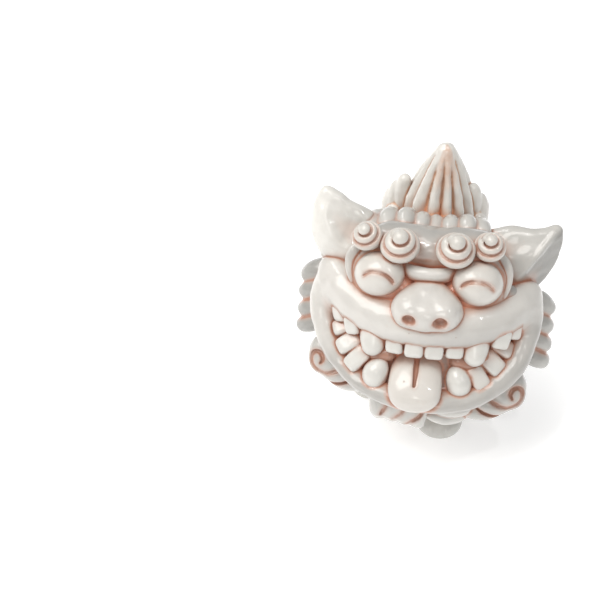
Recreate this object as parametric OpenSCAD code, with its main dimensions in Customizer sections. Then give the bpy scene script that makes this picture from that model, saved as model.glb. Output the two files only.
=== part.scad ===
// Seated guardian lion with an open mouth, hand-modelled in clay from separate
// pieces that are luted to one another and glazed.
// Left and right are the lion's own: its left side is +X. It faces -Y.

/* [Stance] */
// Height of the face centre above the table
face_z = 40; // [39:0.5:41]
// How far the face centre stands in front of the middle of the base
face_y = 11; // [10.5:0.25:11.5]
// How far the face stands to the lion's left of the middle of the base
face_x = 0.75; // [0.5:0.25:1]
// How far the face looks up from level
face_tilt = 30; // [29:0.5:31]

/* [Face] */
// Half width of the skull
skull_half_w = 19.5; // [19:0.25:20]
// Half height of the skull along the face
skull_half_h = 17.5; // [17:0.25:18]
// Half depth of the skull
skull_half_d = 13; // [12.5:0.25:13.5]
// Distance from the middle of the face to each eye
eye_x = 9.9; // [9.7:0.1:10.2]
// Half width of an eye
eye_half_w = 5.2; // [5:0.1:5.4]
// Half height of an eye
eye_half_h = 4.6; // [4.4:0.1:4.7]
// Half width of a brow curl of the inner pair
inner_curl_r = 4.6; // [4.4:0.1:4.7]
// Half width of a brow curl of the outer pair
outer_curl_r = 3.7; // [3.5:0.1:3.8]
// Radius of a nostril
nostril_r = 1.45; // [1.2:0.05:1.6]

/* [Tail and body] */
// Height of the tail's tip above the table
tail_tip_z = 60.5; // [59.5:0.5:61.5]
// Widest radius of the tail's main flame
tail_r = 7.8; // [7.5:0.1:8.1]
// Number of ribs round the tail's main flame
tail_ribs = 12; // [11:1:14]

/* [Hidden] */
clay = [0.93, 0.9, 0.87];
ivory = [0.97, 0.96, 0.93];
blush = [0.9, 0.83, 0.79];
skull_c = [0, -1, -skull_half_d];

// Splines through keys, and rolls of clay swept along them
function unit(v) = v / norm(v);
function place(k) = [k[0], k[1], k[2]];
function blend(p0, p1, p2, p3, t) =
    0.5 * (2 * p1 + (p2 - p0) * t + (2 * p0 - 5 * p1 + 4 * p2 - p3) * t * t
        + (3 * p1 - p0 - 3 * p2 + p3) * t * t * t);
function spline(keys, steps) = let (last = len(keys) - 1) [
    for (i = [0:last - 1], j = [0:steps - 1])
        blend(keys[max(i - 1, 0)], keys[i], keys[i + 1], keys[min(i + 2, last)], j / steps),
    keys[last]
];
function tangent(rows, i) =
    unit(place(rows[min(i + 1, len(rows) - 1)]) - place(rows[max(i - 1, 0)]));
// A row is [x, y, z, half width, half thickness]; the thickness points away from the hub.
function ring(rows, i, hub, sides) =
    let (
        c = place(rows[i]),
        t = tangent(rows, i),
        side = unit(cross(t, c - hub)),
        out = cross(side, t)
    ) [
        for (k = [0:sides - 1]) let (a = 360 * (k + 0.5) / sides)
            c + side * rows[i][3] * cos(a) + out * rows[i][4] * sin(a)
    ];
module skin(rings) {
    m = len(rings);
    s = len(rings[0]);
    polyhedron(
        points = [for (r = rings) for (p = r) p],
        faces = concat(
            [[for (k = [s - 1:-1:0]) k]],
            [[for (k = [0:s - 1]) (m - 1) * s + k]],
            [
                for (i = [0:m - 2], k = [0:s - 1]) let (n = (k + 1) % s)
                    [i * s + k, (i + 1) * s + n, (i + 1) * s + k]
            ],
            [
                for (i = [0:m - 2], k = [0:s - 1]) let (n = (k + 1) % s)
                    [i * s + k, i * s + n, (i + 1) * s + n]
            ]
        )
    );
}
module roll(keys, hub = skull_c, sides = 8, steps = 2) {
    rows = steps > 1 ? spline(keys, steps) : keys;
    skin([for (i = [0:len(rows) - 1]) ring(rows, i, hub, sides)]);
}
module ball(p, r, sides = 10) translate(p) scale(r) sphere(r = 1, $fn = sides);
module link(p, q, r1, r2, sides = 8) hull() {
    translate(p) sphere(r = r1, $fn = sides);
    translate(q) sphere(r = r2, $fn = sides);
}
// Face coordinates: x to the lion's left, y up the face, z out of the face.
module on_face() translate([face_x, -face_y, face_z]) rotate([90 - face_tilt, 0, 0]) children();
module flip(side) mirror([side < 0 ? 1 : 0, 0, 0]) children();
module above_table() difference() {
    children();
    translate([-60, -60, -40]) cube([120, 120, 40]);
}

// Body core: chest, belly and rump
module torso() above_table() {
    hull() {
        ball([0, -3.6, 16.6], [11.4, 8.6, 7.4]);
        ball([0, 5, 9], [10, 8, 7]);
    }
    hull() {
        ball([0, 2, 8], [9, 7, 7]);
        ball([0, 6, 2], [9, 8, 4]);
    }
    hull() {
        ball([0, 7, 16], [12, 9, 9]);
        ball([0, 12, 6], [13, 9, 7]);
    }
    hull() {
        ball([0, 12, 16], [10.6, 9, 9]);
        ball([0, 16.4, 6], [10.5, 9.4, 7]);
    }
    for (s = [-1, 1]) {
        link([s * 9, 0, 18], [s * 6, 9, 25], 5.6, 6, 10);
        link([s * 7, 5, 19], [s * 5, 13, 22], 5, 5.6);
    }
}
module body() color(clay) torso();

// Skull: the core of the head, with its brow, gums and hollow mouth
module skull() on_face() {
    difference() {
        union() {
            ball(skull_c, [skull_half_w, skull_half_h, skull_half_d], 12);
            hull() {
                for (s = [-1, 1]) ball([s * 8.6, 11.6, -5], [5.6, 4.6, 5.6], 10);
                ball([-0.6, 11.4, -3.2], [5, 4.6, 5], 10);
            }
            hull() {
                ball([0, -14, -8], [13, 6, 7.5], 10);
                ball([0, 2, -4], [12, 7, 4.5], 10);
            }
            for (s = [-1, 1]) {
                ball([s * eye_x - 0.4, 6.3, -1.6], [5.9, 5.5, 4.2]);
                link([s * 5.4, 3.4, -0.6], [s * 11, 1.6, -1], 2.6, 2.6, 7);
                link([s * 11, 1.6, -1], [s * 16, 3.4, -3.6], 2.6, 2.2, 7);
            }
        }
        roll([
            [-18.6, -5.5, -4.2, 1.4, 3], [-15, -8.5, -0.6, 4.2, 4], [-8, -11.5, 2.7, 5.6, 4.4],
            [0, -12.4, 3.7, 5.8, 4.6], [8, -11.5, 2.7, 5.6, 4.4], [15, -8.5, -0.6, 4.2, 4],
            [18.6, -5.5, -4.2, 1.4, 3]
        ], hub = [0, -8, -40], sides = 8, steps = 1);
    }
    for (s = [-1, 1]) {
        link([s * 2, -7, -2.8], [s * 8, -6.2, -3.6], 2, 2, 6);
        link([s * 8, -6.2, -3.6], [s * 16, -2.6, -7.4], 2, 1.7, 6);
        link([s * 6, -17, -2.6], [s * 11, -15, -4.2], 2, 2, 6);
        link([s * 11, -15, -4.2], [s * 17.4, -7, -8], 2, 1.7, 6);
    }
}
module head() color(clay) difference() {
    skull();
    torso();
}

// Lips
module upper_lip_roll() on_face() roll([
    [-21, 4.6, -8, 2.6, 2.4], [-18.2, 1.8, -4.8, 4.4, 3.8], [-13.4, -1.4, -1.8, 4.6, 4.2],
    [-7.2, -3, 0.8, 4.6, 4.1], [0, -3.4, 1.8, 4.5, 4.1], [7.2, -3, 0.8, 4.6, 4.1],
    [13.4, -1.4, -1.8, 4.6, 4.2], [18, 1, -4.8, 4.2, 3.8], [20.6, 3.2, -8, 2.4, 2.4]
], hub = [0, -3, -24], sides = 8);
module lower_lip_roll() on_face() roll([
    [-20, 4.4, -8, 2, 2.4], [-21.9, -0.6, -6.8, 2.6, 3], [-21.4, -6, -5.4, 2.2, 2.8],
    [-18.6, -11.6, -3.6, 1.9, 2.6], [-13.6, -16.2, -1.4, 1.9, 2.7], [-7, -18.8, 0.6, 2, 2.8],
    [0.4, -19.5, 1.2, 2.1, 2.8], [7.6, -18.9, 0.6, 2.1, 2.8], [13.8, -16.2, -1.2, 2.1, 2.8],
    [18.4, -11.6, -3.4, 2.3, 2.8], [20.4, -6, -5.2, 2.4, 2.9], [20.8, -1, -6.8, 2.5, 3],
    [19.4, 3.2, -8, 2, 2.4]
], hub = [0, -6, -24], sides = 8);
module upper_lip() color(clay) difference() {
    upper_lip_roll();
    skull();
}
module lower_lip() color(clay) difference() {
    lower_lip_roll();
    upper_lip_roll();
    skull();
    torso();
}

// Tongue, hanging over the lower lip
module tongue_roll() on_face() difference() {
    roll([
        [-1, -9, -4, 4.6, 1.6], [-1, -12, -1.4, 5, 2.2], [-1, -15.6, 1.8, 5.4, 2.5],
        [-1, -18.4, 3.4, 5.2, 2.3], [-1, -20.4, 3.4, 3.4, 1.5]
    ], hub = [-1, -12, -30], sides = 10);
    link([-1.1, -8, -2.2], [-1.1, -14.8, 4.2], 1.1, 0.6, 6);
}
module tongue() color(blush) difference() {
    tongue_roll();
    lower_lip_roll();
    skull();
}

// Teeth, set along the gums
module tooth(p, w, h, d, turn = 0, lean = 0) on_face() translate(p) rotate([0, turn, lean]) hull() {
    cube([w, h - 1.1, d - 1.2], center = true);
    cube([w - 1.1, h, d - 0.4], center = true);
}
module incisors() {
    tooth([-5.7, -7.8, 1], 3.5, 4.8, 4.4, -12);
    tooth([-1.8, -8.2, 1.8], 3.7, 4.6, 4.4, -4);
    tooth([2.1, -8.2, 1.8], 3.7, 4.6, 4.4, 4);
    tooth([6, -7.8, 0.9], 3.5, 4.6, 4.4, 12);
}
module upper_molars() {
    tooth([-14.6, -4.8, -2.6], 3, 4.6, 4.4, -24, 22);
    tooth([-17.4, -3, -4.6], 2.6, 4, 4.2, -34, 28);
    tooth([14.8, -4.6, -2.6], 3.2, 4.6, 4.4, 24, -20);
    tooth([17.4, -2.8, -4.6], 2.8, 4, 4.2, 34, -26);
}
module upper_teeth() color(ivory) difference() {
    union() {
        incisors();
        upper_molars();
    }
    upper_lip_roll();
    lower_lip_roll();
    skull();
    fang_up(-1);
    fang_up(1);
}
module fang_up(s) on_face() flip(s) hull() {
    ball([10.6, -6, -0.6], [2.6, 2, 2.8], 10);
    ball([10.5, -8.8, 1], [2.1, 2, 2], 10);
}
module upper_fang(s) color(ivory) difference() {
    fang_up(s);
    upper_lip_roll();
    skull();
}
module lower_teeth() color(ivory) difference() {
    union() {
        tooth([-13.1, -12.6, -1.5], 3.4, 5.4, 4.4, -20, -42);
        tooth([-15.2, -9.9, -2.7], 3.3, 5.2, 4.4, -28, -55);
        tooth([-16.7, -7.1, -4.2], 3, 4.6, 4.2, -34, -66);
        tooth([11.3, -13.9, -1.3], 3.4, 5.2, 4.4, 20, 36);
        tooth([13.8, -11.1, -2.6], 3.6, 5, 4.4, 28, 50);
        tooth([15.8, -8, -4.2], 3.4, 4.6, 4.2, 34, 64);
    }
    upper_molars();
    lower_lip_roll();
    upper_lip_roll();
    skull();
    fang_low(-1);
    fang_low(1);
}
module fang_low(s) on_face() translate([s > 0 ? 8.1 : -9.3, 0, 0]) hull() {
    ball([0, -15, 0.1], [2.75, 2.6, 2.7]);
    ball([-s * 0.3, -12.9, 0.4], [2.1, 1.9, 2.1]);
}
module lower_fang(s) color(ivory) difference() {
    fang_low(s);
    lower_lip_roll();
    skull();
    tongue_roll();
}

// Nose, with two nostrils pressed in
module nose_ball() on_face() hull() {
    ball([0, 3, 2], [5, 3.8, 4.8]);
    for (s = [-1, 1]) ball([s * 3.4, 0.2, 3.6], [3.9, 3.9, 4.8]);
    ball([0, -0.6, 4.2], [4.6, 3.6, 4.6]);
}
module nose() color(clay) difference() {
    nose_ball();
    on_face() for (s = [-1, 1])
        translate([s * 3.2 - 0.2, -1.1, 9.4]) rotate([22, s * 8, 0])
            cylinder(r1 = nostril_r * 0.8, r2 = nostril_r * 1.15, h = 5, center = true, $fn = 10);
    upper_lip_roll();
    skull();
}
module nose_bridge_roll() on_face() roll([
    [-5.7, 7.9, -0.5, 1.1, 1.7], [-3.6, 7.2, 1.1, 1.5, 2.3], [-0.4, 6.9, 1.8, 1.6, 2.5],
    [2.8, 7.2, 1.1, 1.5, 2.3], [4.9, 7.9, -0.5, 1.1, 1.7]
], sides = 7);
module nose_bridge() color(clay) difference() {
    nose_bridge_roll();
    nose_ball();
    eye_ball(-1);
    eye_ball(1);
    skull();
}

// Eyes, each with a smiling slit, and the rims outside them
module eye_ball(s) on_face() translate([s * eye_x - 0.4, 6.3, 1.2]) rotate([0, s * 14, -s * 8])
    scale([eye_half_w, eye_half_h, 4.6]) sphere(r = 1, $fn = 12);
module eye(s) color(ivory) difference() {
    eye_ball(s);
    on_face() roll([
        for (a = [-60:20:60])
            [s * eye_x - 0.4 + 3.4 * sin(a), 4.4 + 2.9 * cos(a), 5.6 - 0.02 * abs(a), 0.7, 1.7]
    ], hub = [s * eye_x, 4, -40], sides = 4, steps = 1);
    nose_ball();
    upper_lip_roll();
    skull();
}
module eye_rim(s) color(clay) difference() {
    on_face() roll([
        [s * 14 - 0.4, 11.4, -2.2, 0.8, 1.6], [s * 15.2 - 0.4, 9.6, -2, 1.2, 2.4],
        [s * 15.8 - 0.4, 6.6, -2.2, 1.3, 2.6], [s * 15.3 - 0.4, 3.4, -2, 1.2, 2.4],
        [s * 14 - 0.4, 1.4, -1.6, 0.8, 1.6]
    ], sides = 8);
    eye_ball(s);
    upper_lip_roll();
    brow_curl_body(s, true);
    skull();
}

// Brow curls: a strand coiled up into a cone with a bead on top
module snail(r, h, turns = 2, steps = 3) {
    ball([0, 0, 0], [r * 0.94, r * 0.94, h * 0.4], 10);
    cylinder(r1 = r * 0.46, r2 = r * 0.31, h = h * 0.7, $fn = 7);
    for (part = [0:2]) roll([
        for (i = [0:steps]) let (
            t = (part + i / steps) / 3,
            a = 360 * turns * t + 100,
            q = r * (0.68 - 0.28 * t),
            w = r * (0.34 - 0.06 * t)
        )
            [q * cos(a), q * sin(a), h * (0.2 + 0.5 * t), w, w]
    ], hub = [0, 0, -400], sides = 6, steps = 1);
    ball([0, 0, h * 0.76], [r * 0.42, r * 0.42, r * 0.46], 8);
}
module brow_curl_body(s, outer) on_face()
    translate(outer ? [s * 12.2 - 0.9, 13.2, 0.6] : [s * 5.5 - 0.9, 12, 2.2])
        rotate([-32, s * (outer ? 8 : 2), outer ? 11 : 0])
            snail(outer ? outer_curl_r : inner_curl_r, outer ? 4.4 : 5.4);
module brow_curl(s, outer) color(clay) difference() {
    brow_curl_body(s, outer);
    eye_ball(s);
    if (outer) brow_curl_body(s, false);
    skull();
}

// Ears: pointed, cupped leaves
module ear_roll(s) on_face() roll(s > 0 ? [
    [11.5, 9.4, -10.5, 6, 3.4], [16, 10.4, -9, 6.6, 3.4], [20, 11.8, -8.2, 5.6, 2.9],
    [23, 14.4, -8, 3.5, 2.1], [24.8, 17.6, -8, 1, 0.9]
] : [
    [-12, 9.6, -10.5, 6.2, 3.4], [-16.6, 10.8, -9, 6.8, 3.4], [-20.6, 13.2, -8.2, 5.4, 2.9],
    [-23, 17, -8, 3.3, 2.1], [-23, 21, -8, 1, 0.9]
], hub = [s * 16, 8, -60], sides = 8);
module ear(s) color(clay) difference() {
    ear_roll(s);
    on_face() roll(s > 0 ? [
        [13, 11.6, -5.6, 2.8, 0.8], [16.6, 12.6, -5.2, 3.8, 2.1], [20, 14, -5, 3, 1.7],
        [22.6, 15.8, -5.6, 1.2, 0.8]
    ] : [
        [-13.4, 11.8, -5.6, 2.8, 0.8], [-17, 13, -5.2, 3.8, 2.1], [-20, 15.4, -5, 3, 1.7],
        [-21.8, 18.2, -5.6, 1.2, 0.8]
    ], hub = [s * 16, 8, -60], sides = 7);
    skull();
    upper_lip_roll();
    brow_curl_body(s, true);
}

// Mane
module lock(rows, sides = 6, steps = 1, hub = skull_c) on_face()
    roll(rows, sides = sides, steps = steps, hub = hub);
module crown_locks() color(clay) difference() {
    for (k = [
        [-13.4, -0.3, 1.6], [-10.2, 0.5, 1.9], [-6.5, 0.9, 1.95], [-3.1, 0.2, 1.7],
        [-0.2, -1.1, 1.3], [3, 0.1, 1.75], [6.5, 0.7, 1.8], [9.8, -0.1, 1.75]
    ]) let (x = k[0], up = k[1], r = k[2]) lock([
        [x * 1.02, 12.9 + up, -7, 0.6 * r, 0.6 * r], [x, 14.9 + up, -8, r, 0.95 * r],
        [x * 0.97, 15.8 + up, -10.6, r, 1.15 * r], [x * 0.9, 15.2, -14.6, r, 1.8],
        [x * 0.86, 12.4, -18.4, 0.6 * r, 1]
    ], sides = 6, steps = 1);
    skull();
    for (s = [-1, 1], outer = [true, false]) brow_curl_body(s, outer);
    for (s = [-1, 1]) ear_roll(s);
    tail_flame();
    torso();
}
module nape_rows(s) flip(s) for (i = [0:2]) let (a = 18 + 29 * i) lock([
    [3 + 16 * sin(a), 13 * cos(a) + 1, -15 - 8 * cos(a), 2.2, 1.8],
    [3.6 + 16 * sin(a), 13 * cos(a) - 3.4, -17.4 - 8 * cos(a), 3.2, 2.6],
    [4 + 15 * sin(a), 13 * cos(a) - 8.4, -18.4 - 7 * cos(a), 3.1, 2.5],
    [4 + 13 * sin(a), 13 * cos(a) - 12, -18 - 6 * cos(a), 1.5, 1.4]
], sides = 6);
module nape_locks(s) color(clay) difference() {
    nape_rows(s);
    skull();
    tail_flame();
    ear_roll(s);
    cheek_mane_rows(s);
    torso();
}
module cheek_mane_rows(s) for (i = [0:3]) let (
    y = s > 0 ? 1.4 - 3.6 * i : 3.6 - 3.5 * i,
    out = s > 0 ? 0 : 1.3,
    n = -12 - 0.5 * abs(i - 1.5)
) lock([
    [s * 16.4, y + 0.8, n + 0.8, 1.8, 1.8], [s * (20.4 + out), y, n - 0.4, 2.3, 2.8],
    [s * (23.4 + out), y - 1 - 0.3 * i, n - 1.1, 2.3, 2.8],
    [s * (25.2 + out), y - 2 - 0.3 * i, n - 1.6, 1.7, 2.2],
    [s * (26 + out), y - 2.5 - 0.4 * i, n - 1.8, 0.8, 1.1]
], hub = [s * 22, y, -60]);
module cheek_mane(s) color(clay) difference() {
    cheek_mane_rows(s);
    skull();
    upper_lip_roll();
    lower_lip_roll();
    ear_roll(s);
    torso();
}
module chin_curl_place(s) on_face()
    translate(s > 0 ? [19.8, -18.6, -8.2] : [-21.9, -15.2, -8.2]) flip(s) children();
module chin_curl_rows(s) chin_curl_place(s) {
    ball([-1.3, 0.8, -0.2], [3.8, 4.4, 3.1]);
    roll([
        [-11.8, -0.4, -1.8, 2, 2.4], [-7.8, -2.2, -0.8, 2.5, 2.9], [-3.8, -2.8, -0.3, 2.5, 2.9],
        [-0.8, -1.4, -0.8, 1.8, 2.2]
    ], hub = [0, 0, -400], sides = 6, steps = 1);
    roll([
        [-14.8, -2.4, -2.4, 1.8, 2.2], [-10.3, -4.2, -1.5, 2.3, 2.8], [-5.8, -4.5, -1, 2.3, 2.8],
        [-2, -3.2, -1.2, 1.4, 1.8]
    ], hub = [0, 0, -400], sides = 6, steps = 1);
}
module chin_curl_lines() {
    roll([
        [-0.4, -0.5, 2.6, 0.3, 1], [-0.9, 0.5, 2.6, 0.35, 1.1], [-0.3, 1.7, 2.4, 0.4, 1.1],
        [0.8, 1.9, 2, 0.4, 1.2], [1.6, 0.9, 1.6, 0.45, 1.2], [1.5, -0.8, 1.6, 0.45, 1.2],
        [0.2, -2.2, 1.8, 0.5, 1.2], [-1.8, -2.8, 2.4, 0.5, 1.2], [-4.2, -1.9, 2.6, 0.45, 1.2],
        [-6.4, -0.2, 2.2, 0.3, 1.2]
    ], hub = [0, 0, -400], sides = 4, steps = 1);
    roll([
        [-8.4, -2.8, 1.4, 0.3, 1], [-6.4, -4.4, 1.4, 0.45, 1.2], [-4.2, -5.2, 0.8, 0.45, 1.2],
        [-2.2, -5.2, 0, 0.3, 1]
    ], hub = [0, 0, -400], sides = 4, steps = 1);
}
module chin_curl(s) color(clay) difference() {
    chin_curl_rows(s);
    chin_curl_place(s) chin_curl_lines();
    lower_lip_roll();
    skull();
    cheek_mane_rows(s);
    torso();
}
module beard_rows() {
    for (i = [0:3]) let (x = 1.4 - 2.8 * i) lock([
        [x + 1, -16.6, -8 - 0.5 * i, 1.8, 2.4], [x - 1, -21.4 + 0.3 * i, -4.8 - 0.5 * i, 2.2, 3],
        [x - 1.4, -25 + 0.7 * i, -5 - 0.4 * i, 1.7, 2.4], [x - 1, -27 + 1 * i, -6.2 - 0.4 * i, 0.8, 1.2]
    ], hub = [x, -18, -60]);
}
module beard() color(clay) difference() {
    beard_rows();
    lower_lip_roll();
    tongue_roll();
    chin_curl_rows(-1);
    skull();
    torso();
    for (s = [-1, 1]) front_leg_solid(s);
}
module chest_lock_rows() for (i = [0:1]) lock([
    [1 - i, -20.4 - 2.2 * i, -8.4 - 1.6 * i, 1.7, 2.4], [5 - i, -22.6 - 2.2 * i, -7.2 - 1.6 * i, 2.1, 2.8],
    [9 - i, -22.6 - 2.2 * i, -7.8 - 1.6 * i, 2, 2.6], [11.6 - i, -21.2 - 2.2 * i, -9.2 - 1.6 * i, 1.1, 1.6]
], hub = [5, -20, -60]);
module chest_lock() color(clay) difference() {
    chest_lock_rows();
    beard_rows();
    lower_lip_roll();
    chin_curl_rows(1);
    skull();
    torso();
    for (s = [-1, 1]) front_leg_solid(s);
}

// Legs, each with a toed paw; the right front paw is set back
module paw(c, r) above_table() difference() {
    ball(c, r, 10);
    for (x = [-0.36, 0.36])
        link(c + [x * r[0], -r[1] * 1.02, -r[2]], c + [x * r[0], -r[1] * 0.5, r[2] * 0.95], 0.6, 0.6, 6);
}
module front_leg_solid(s) {
    back = s > 0 ? 0 : 3.8;
    above_table() link([s * 6.4, -3.4 + back, 15], [s * 5.3 + face_x, -4.4 + back, 3], 4.2, 3.8, 10);
    paw([s * 5.1 + face_x, -6 + back, 1.4], [4.9, 5.3, 3.4]);
}
module front_leg(s) color(clay) difference() {
    front_leg_solid(s);
    torso();
    skull();
    lower_lip_roll();
}
module hind_leg_solid(s) flip(s) {
    above_table() hull() {
        ball([10.4, 13.4, 8.2], [5.7, 8.3, 8.5], 9);
        ball([11.2, 9, 4], [5, 8, 5], 9);
    }
    paw([11.6, 4, 1.2], [4.2, 5.4, 3]);
}
module hind_leg(s) color(clay) difference() {
    hind_leg_solid(s);
    torso();
    skull();
    front_leg_solid(s);
}

// Tail: an upright flame with ribs that close at its tip, and smaller flames beside it
tail_rows = [
    [0, 19.2, 8, 0.6], [0.3, 18, 24, 0.73], [0.4, 17.7, 33, 0.95], [0.2, 17.5, 39.5, 1.01],
    [0.1, 17.6, 45, 0.95], [0.1, 17.6, 49, 0.83], [0.2, 17.7, 52.6, 0.65], [0.3, 17.9, 55.6, 0.46],
    [0.4, 18, tail_tip_z - 2.4, 0.29], [0.5, 18, tail_tip_z - 0.7, 0.17], [0.5, 18, tail_tip_z, 0.07]
];
module tail_flame() skin([
    for (p = tail_rows) [
        for (k = [0:3 * tail_ribs - 1])
            let (a = -120 * k / tail_ribs, q = tail_r * p[3] * (k % 3 == 0 ? 0.82 : 1))
                [face_x + p[0] + q * cos(a), p[1] + q * sin(a), p[2]]
    ]
]);
module tail() color(clay) difference() {
    tail_flame();
    skull();
    torso();
}
module small_flame(s, x, y, z, r) roll([
    [s * (x - 1.8), y, z - 13, r, r], [s * (x - 0.5), y, z - 9, 1.2 * r, 1.2 * r],
    [s * (x - 0.2), y, z - 4.5, 1.15 * r, 1.15 * r], [s * (x - 0.5), y, z - 1.5, 0.8 * r, 0.8 * r],
    [s * (x - 0.8), y, z - 0.3, 0.35 * r, 0.35 * r]
], hub = [0, -400, 40], sides = 6, steps = 1);
module tail_flame_rows(s) for (f = s > 0
    ? [[8.3, 18.2, 50.2, 1.7], [10, 18.8, 47.2, 1.7], [9.8, 17, 43.5, 1.9]]
    : [[7.7, 18.2, 51, 1.6], [9.3, 18.7, 48.8, 1.5], [10.4, 19.2, 46.4, 1.5], [9.8, 16.2, 43.8, 1.7]])
        small_flame(s, f[0], f[1], f[2], f[3]);
module tail_flames(s) color(clay) difference() {
    tail_flame_rows(s);
    tail_flame();
    nape_rows(s);
    skull();
    torso();
}

body();
head();
upper_lip();
lower_lip();
tongue();
nose();
nose_bridge();
eye(1);  // left_eye
eye(-1);  // right_eye
eye_rim(1);  // left_eye_rim
eye_rim(-1);  // right_eye_rim
brow_curl(1, false);  // left_inner_brow_curl
brow_curl(-1, false);  // right_inner_brow_curl
brow_curl(1, true);  // left_outer_brow_curl
brow_curl(-1, true);  // right_outer_brow_curl
ear(1);  // left_ear
ear(-1);  // right_ear
upper_teeth();
upper_fang(1);  // left_upper_fang
upper_fang(-1);  // right_upper_fang
lower_teeth();
lower_fang(1);  // left_lower_fang
lower_fang(-1);  // right_lower_fang
crown_locks();
nape_locks(1);  // left_nape_locks
nape_locks(-1);  // right_nape_locks
cheek_mane(1);  // left_cheek_mane
cheek_mane(-1);  // right_cheek_mane
chin_curl(1);  // left_chin_curl
chin_curl(-1);  // right_chin_curl
beard();
chest_lock();
front_leg(1);  // left_front_leg
front_leg(-1);  // right_front_leg
hind_leg(1);  // left_hind_leg
hind_leg(-1);  // right_hind_leg
tail();
tail_flames(1);  // left_tail_flames
tail_flames(-1);  // right_tail_flames
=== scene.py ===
"""Seated guardian lion in glazed pottery: the finish of every piece, the studio and the camera.

The statue is hand-modelled: rolls, balls and pressed lines of clay. Each piece is measured here as a signed
distance on its own window of one shared lattice, in millimetres. It is skinned with a mesh, and then takes the
wash and glaze. The wash is a pink-brown stain that stays where the clay is hollow, so the whole statue is
measured first, and each point of each mesh is told how deep in a crevice it lies.
"""

import logging
import math
from dataclasses import dataclass, field
from enum import Enum

import bpy
import numpy as np
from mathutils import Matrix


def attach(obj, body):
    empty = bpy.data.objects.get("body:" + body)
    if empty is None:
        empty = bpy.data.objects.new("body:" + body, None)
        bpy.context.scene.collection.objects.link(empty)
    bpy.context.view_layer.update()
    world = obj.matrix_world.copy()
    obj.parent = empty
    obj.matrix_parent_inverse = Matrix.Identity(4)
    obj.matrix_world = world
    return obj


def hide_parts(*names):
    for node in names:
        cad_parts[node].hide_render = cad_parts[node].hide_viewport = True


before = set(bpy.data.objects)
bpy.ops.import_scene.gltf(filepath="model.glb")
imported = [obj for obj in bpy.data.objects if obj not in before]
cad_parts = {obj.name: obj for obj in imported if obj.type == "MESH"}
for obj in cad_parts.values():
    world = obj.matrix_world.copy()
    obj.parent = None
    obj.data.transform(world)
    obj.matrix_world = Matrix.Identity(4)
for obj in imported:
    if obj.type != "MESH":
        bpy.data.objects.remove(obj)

import openvdb
from mathutils import Vector

LOG = logging.getLogger("shisa")
Point = tuple[float, ...]
Keys = list[Point]
Window = tuple[slice, slice, slice]
Socket = bpy.types.NodeSocket

# Sizes are in millimetres, and MM turns them into Blender's metres.
MM = 0.001
PITCH = 0.2
FAR = 4.0
LATTICE_LOW = np.array([-29.6, -27.6, -1.2])
LATTICE_HIGH = np.array([29.6, 27.6, 62.4])

# The wash of a brushed form ends WASH_EDGE outside it, after fading over WASH_FADE, and a faint rim of it
# reaches a millimetre out.
WASH_EDGE = 0.28
WASH_FADE = 0.33
WASH_RIM = 0.34

# The head's top is wiped nearly bare of wash from this height on the face upwards.
BARE_FROM = 13.5
BARE_RISE = 0.25
BARE_MOST = 0.85

# Half the distance between the eyes, and how far the pair sits towards the lion's right.
EYE_X = 9.9
EYES_OFF = 0.4

# What each point of a mesh is told about the statue, for its glaze to read.
MEASURES = ("crevice", "hollow", "brushed", "kept", "shade")


class Side(Enum):
    """One side of the lion; its own left is towards +X."""

    LEFT = 1
    RIGHT = -1

    @property
    def word(self) -> str:
        """The side's word in node names."""
        return self.name.lower()


class Join(Enum):
    """How a form meets the clay that is already there."""

    ADD = 1
    CUT = -1
    BRUSH = 0


def unit(v: np.ndarray) -> np.ndarray:
    """Scales a vector to length one.

    Args:
        v: Any vector that isn't zero.

    Returns:
        The same direction with length one.
    """
    return v / np.linalg.norm(v)


def turned(degrees: Point) -> np.ndarray:
    """Makes a rotation about X, then Y, then Z.

    Args:
        degrees: Angles about the three axes.

    Returns:
        A 3 by 3 matrix whose columns are the turned axes.
    """
    a, b, c = (math.radians(d) for d in degrees)
    about_x = np.array([[1, 0, 0], [0, math.cos(a), -math.sin(a)], [0, math.sin(a), math.cos(a)]])
    about_y = np.array([[math.cos(b), 0, math.sin(b)], [0, 1, 0], [-math.sin(b), 0, math.cos(b)]])
    about_z = np.array([[math.cos(c), -math.sin(c), 0], [math.sin(c), math.cos(c), 0], [0, 0, 1]])
    return about_z @ about_y @ about_x


def spline(keys: Keys, step: float) -> np.ndarray:
    """Runs a smooth curve through keys.

    Args:
        keys: Rows whose first three numbers are a place; the rest are carried along.
        step: Largest distance between two samples, in millimetres.

    Returns:
        One row per sample.
    """
    rows = np.array(keys, float)
    last = len(rows) - 1
    out = []
    for i in range(last):
        before, here, after, beyond = rows[max(i - 1, 0)], rows[i], rows[i + 1], rows[min(i + 2, last)]
        count = max(2, math.ceil(np.linalg.norm(after[:3] - here[:3]) / step))
        for t in np.arange(count) / count:
            out.append(
                0.5 * (2 * here + (after - before) * t + (2 * before - 5 * here + 4 * after - beyond) * t**2
                       + (3 * here - before - 3 * after + beyond) * t**3)
            )
    out.append(rows[last])
    return np.array(out)


def blended(a: np.ndarray, b: np.ndarray, soft: float) -> np.ndarray:
    """Joins two distance fields, with a fillet where they meet.

    Args:
        a: Signed distances.
        b: Signed distances on the same points.
        soft: Size of the fillet, in millimetres.

    Returns:
        Signed distances of the two forms together.
    """
    if soft <= 0:
        return np.minimum(a, b)
    near = np.maximum(soft - np.abs(a - b), 0) / soft
    return np.minimum(a, b) - near * near * (soft / 4)


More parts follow.
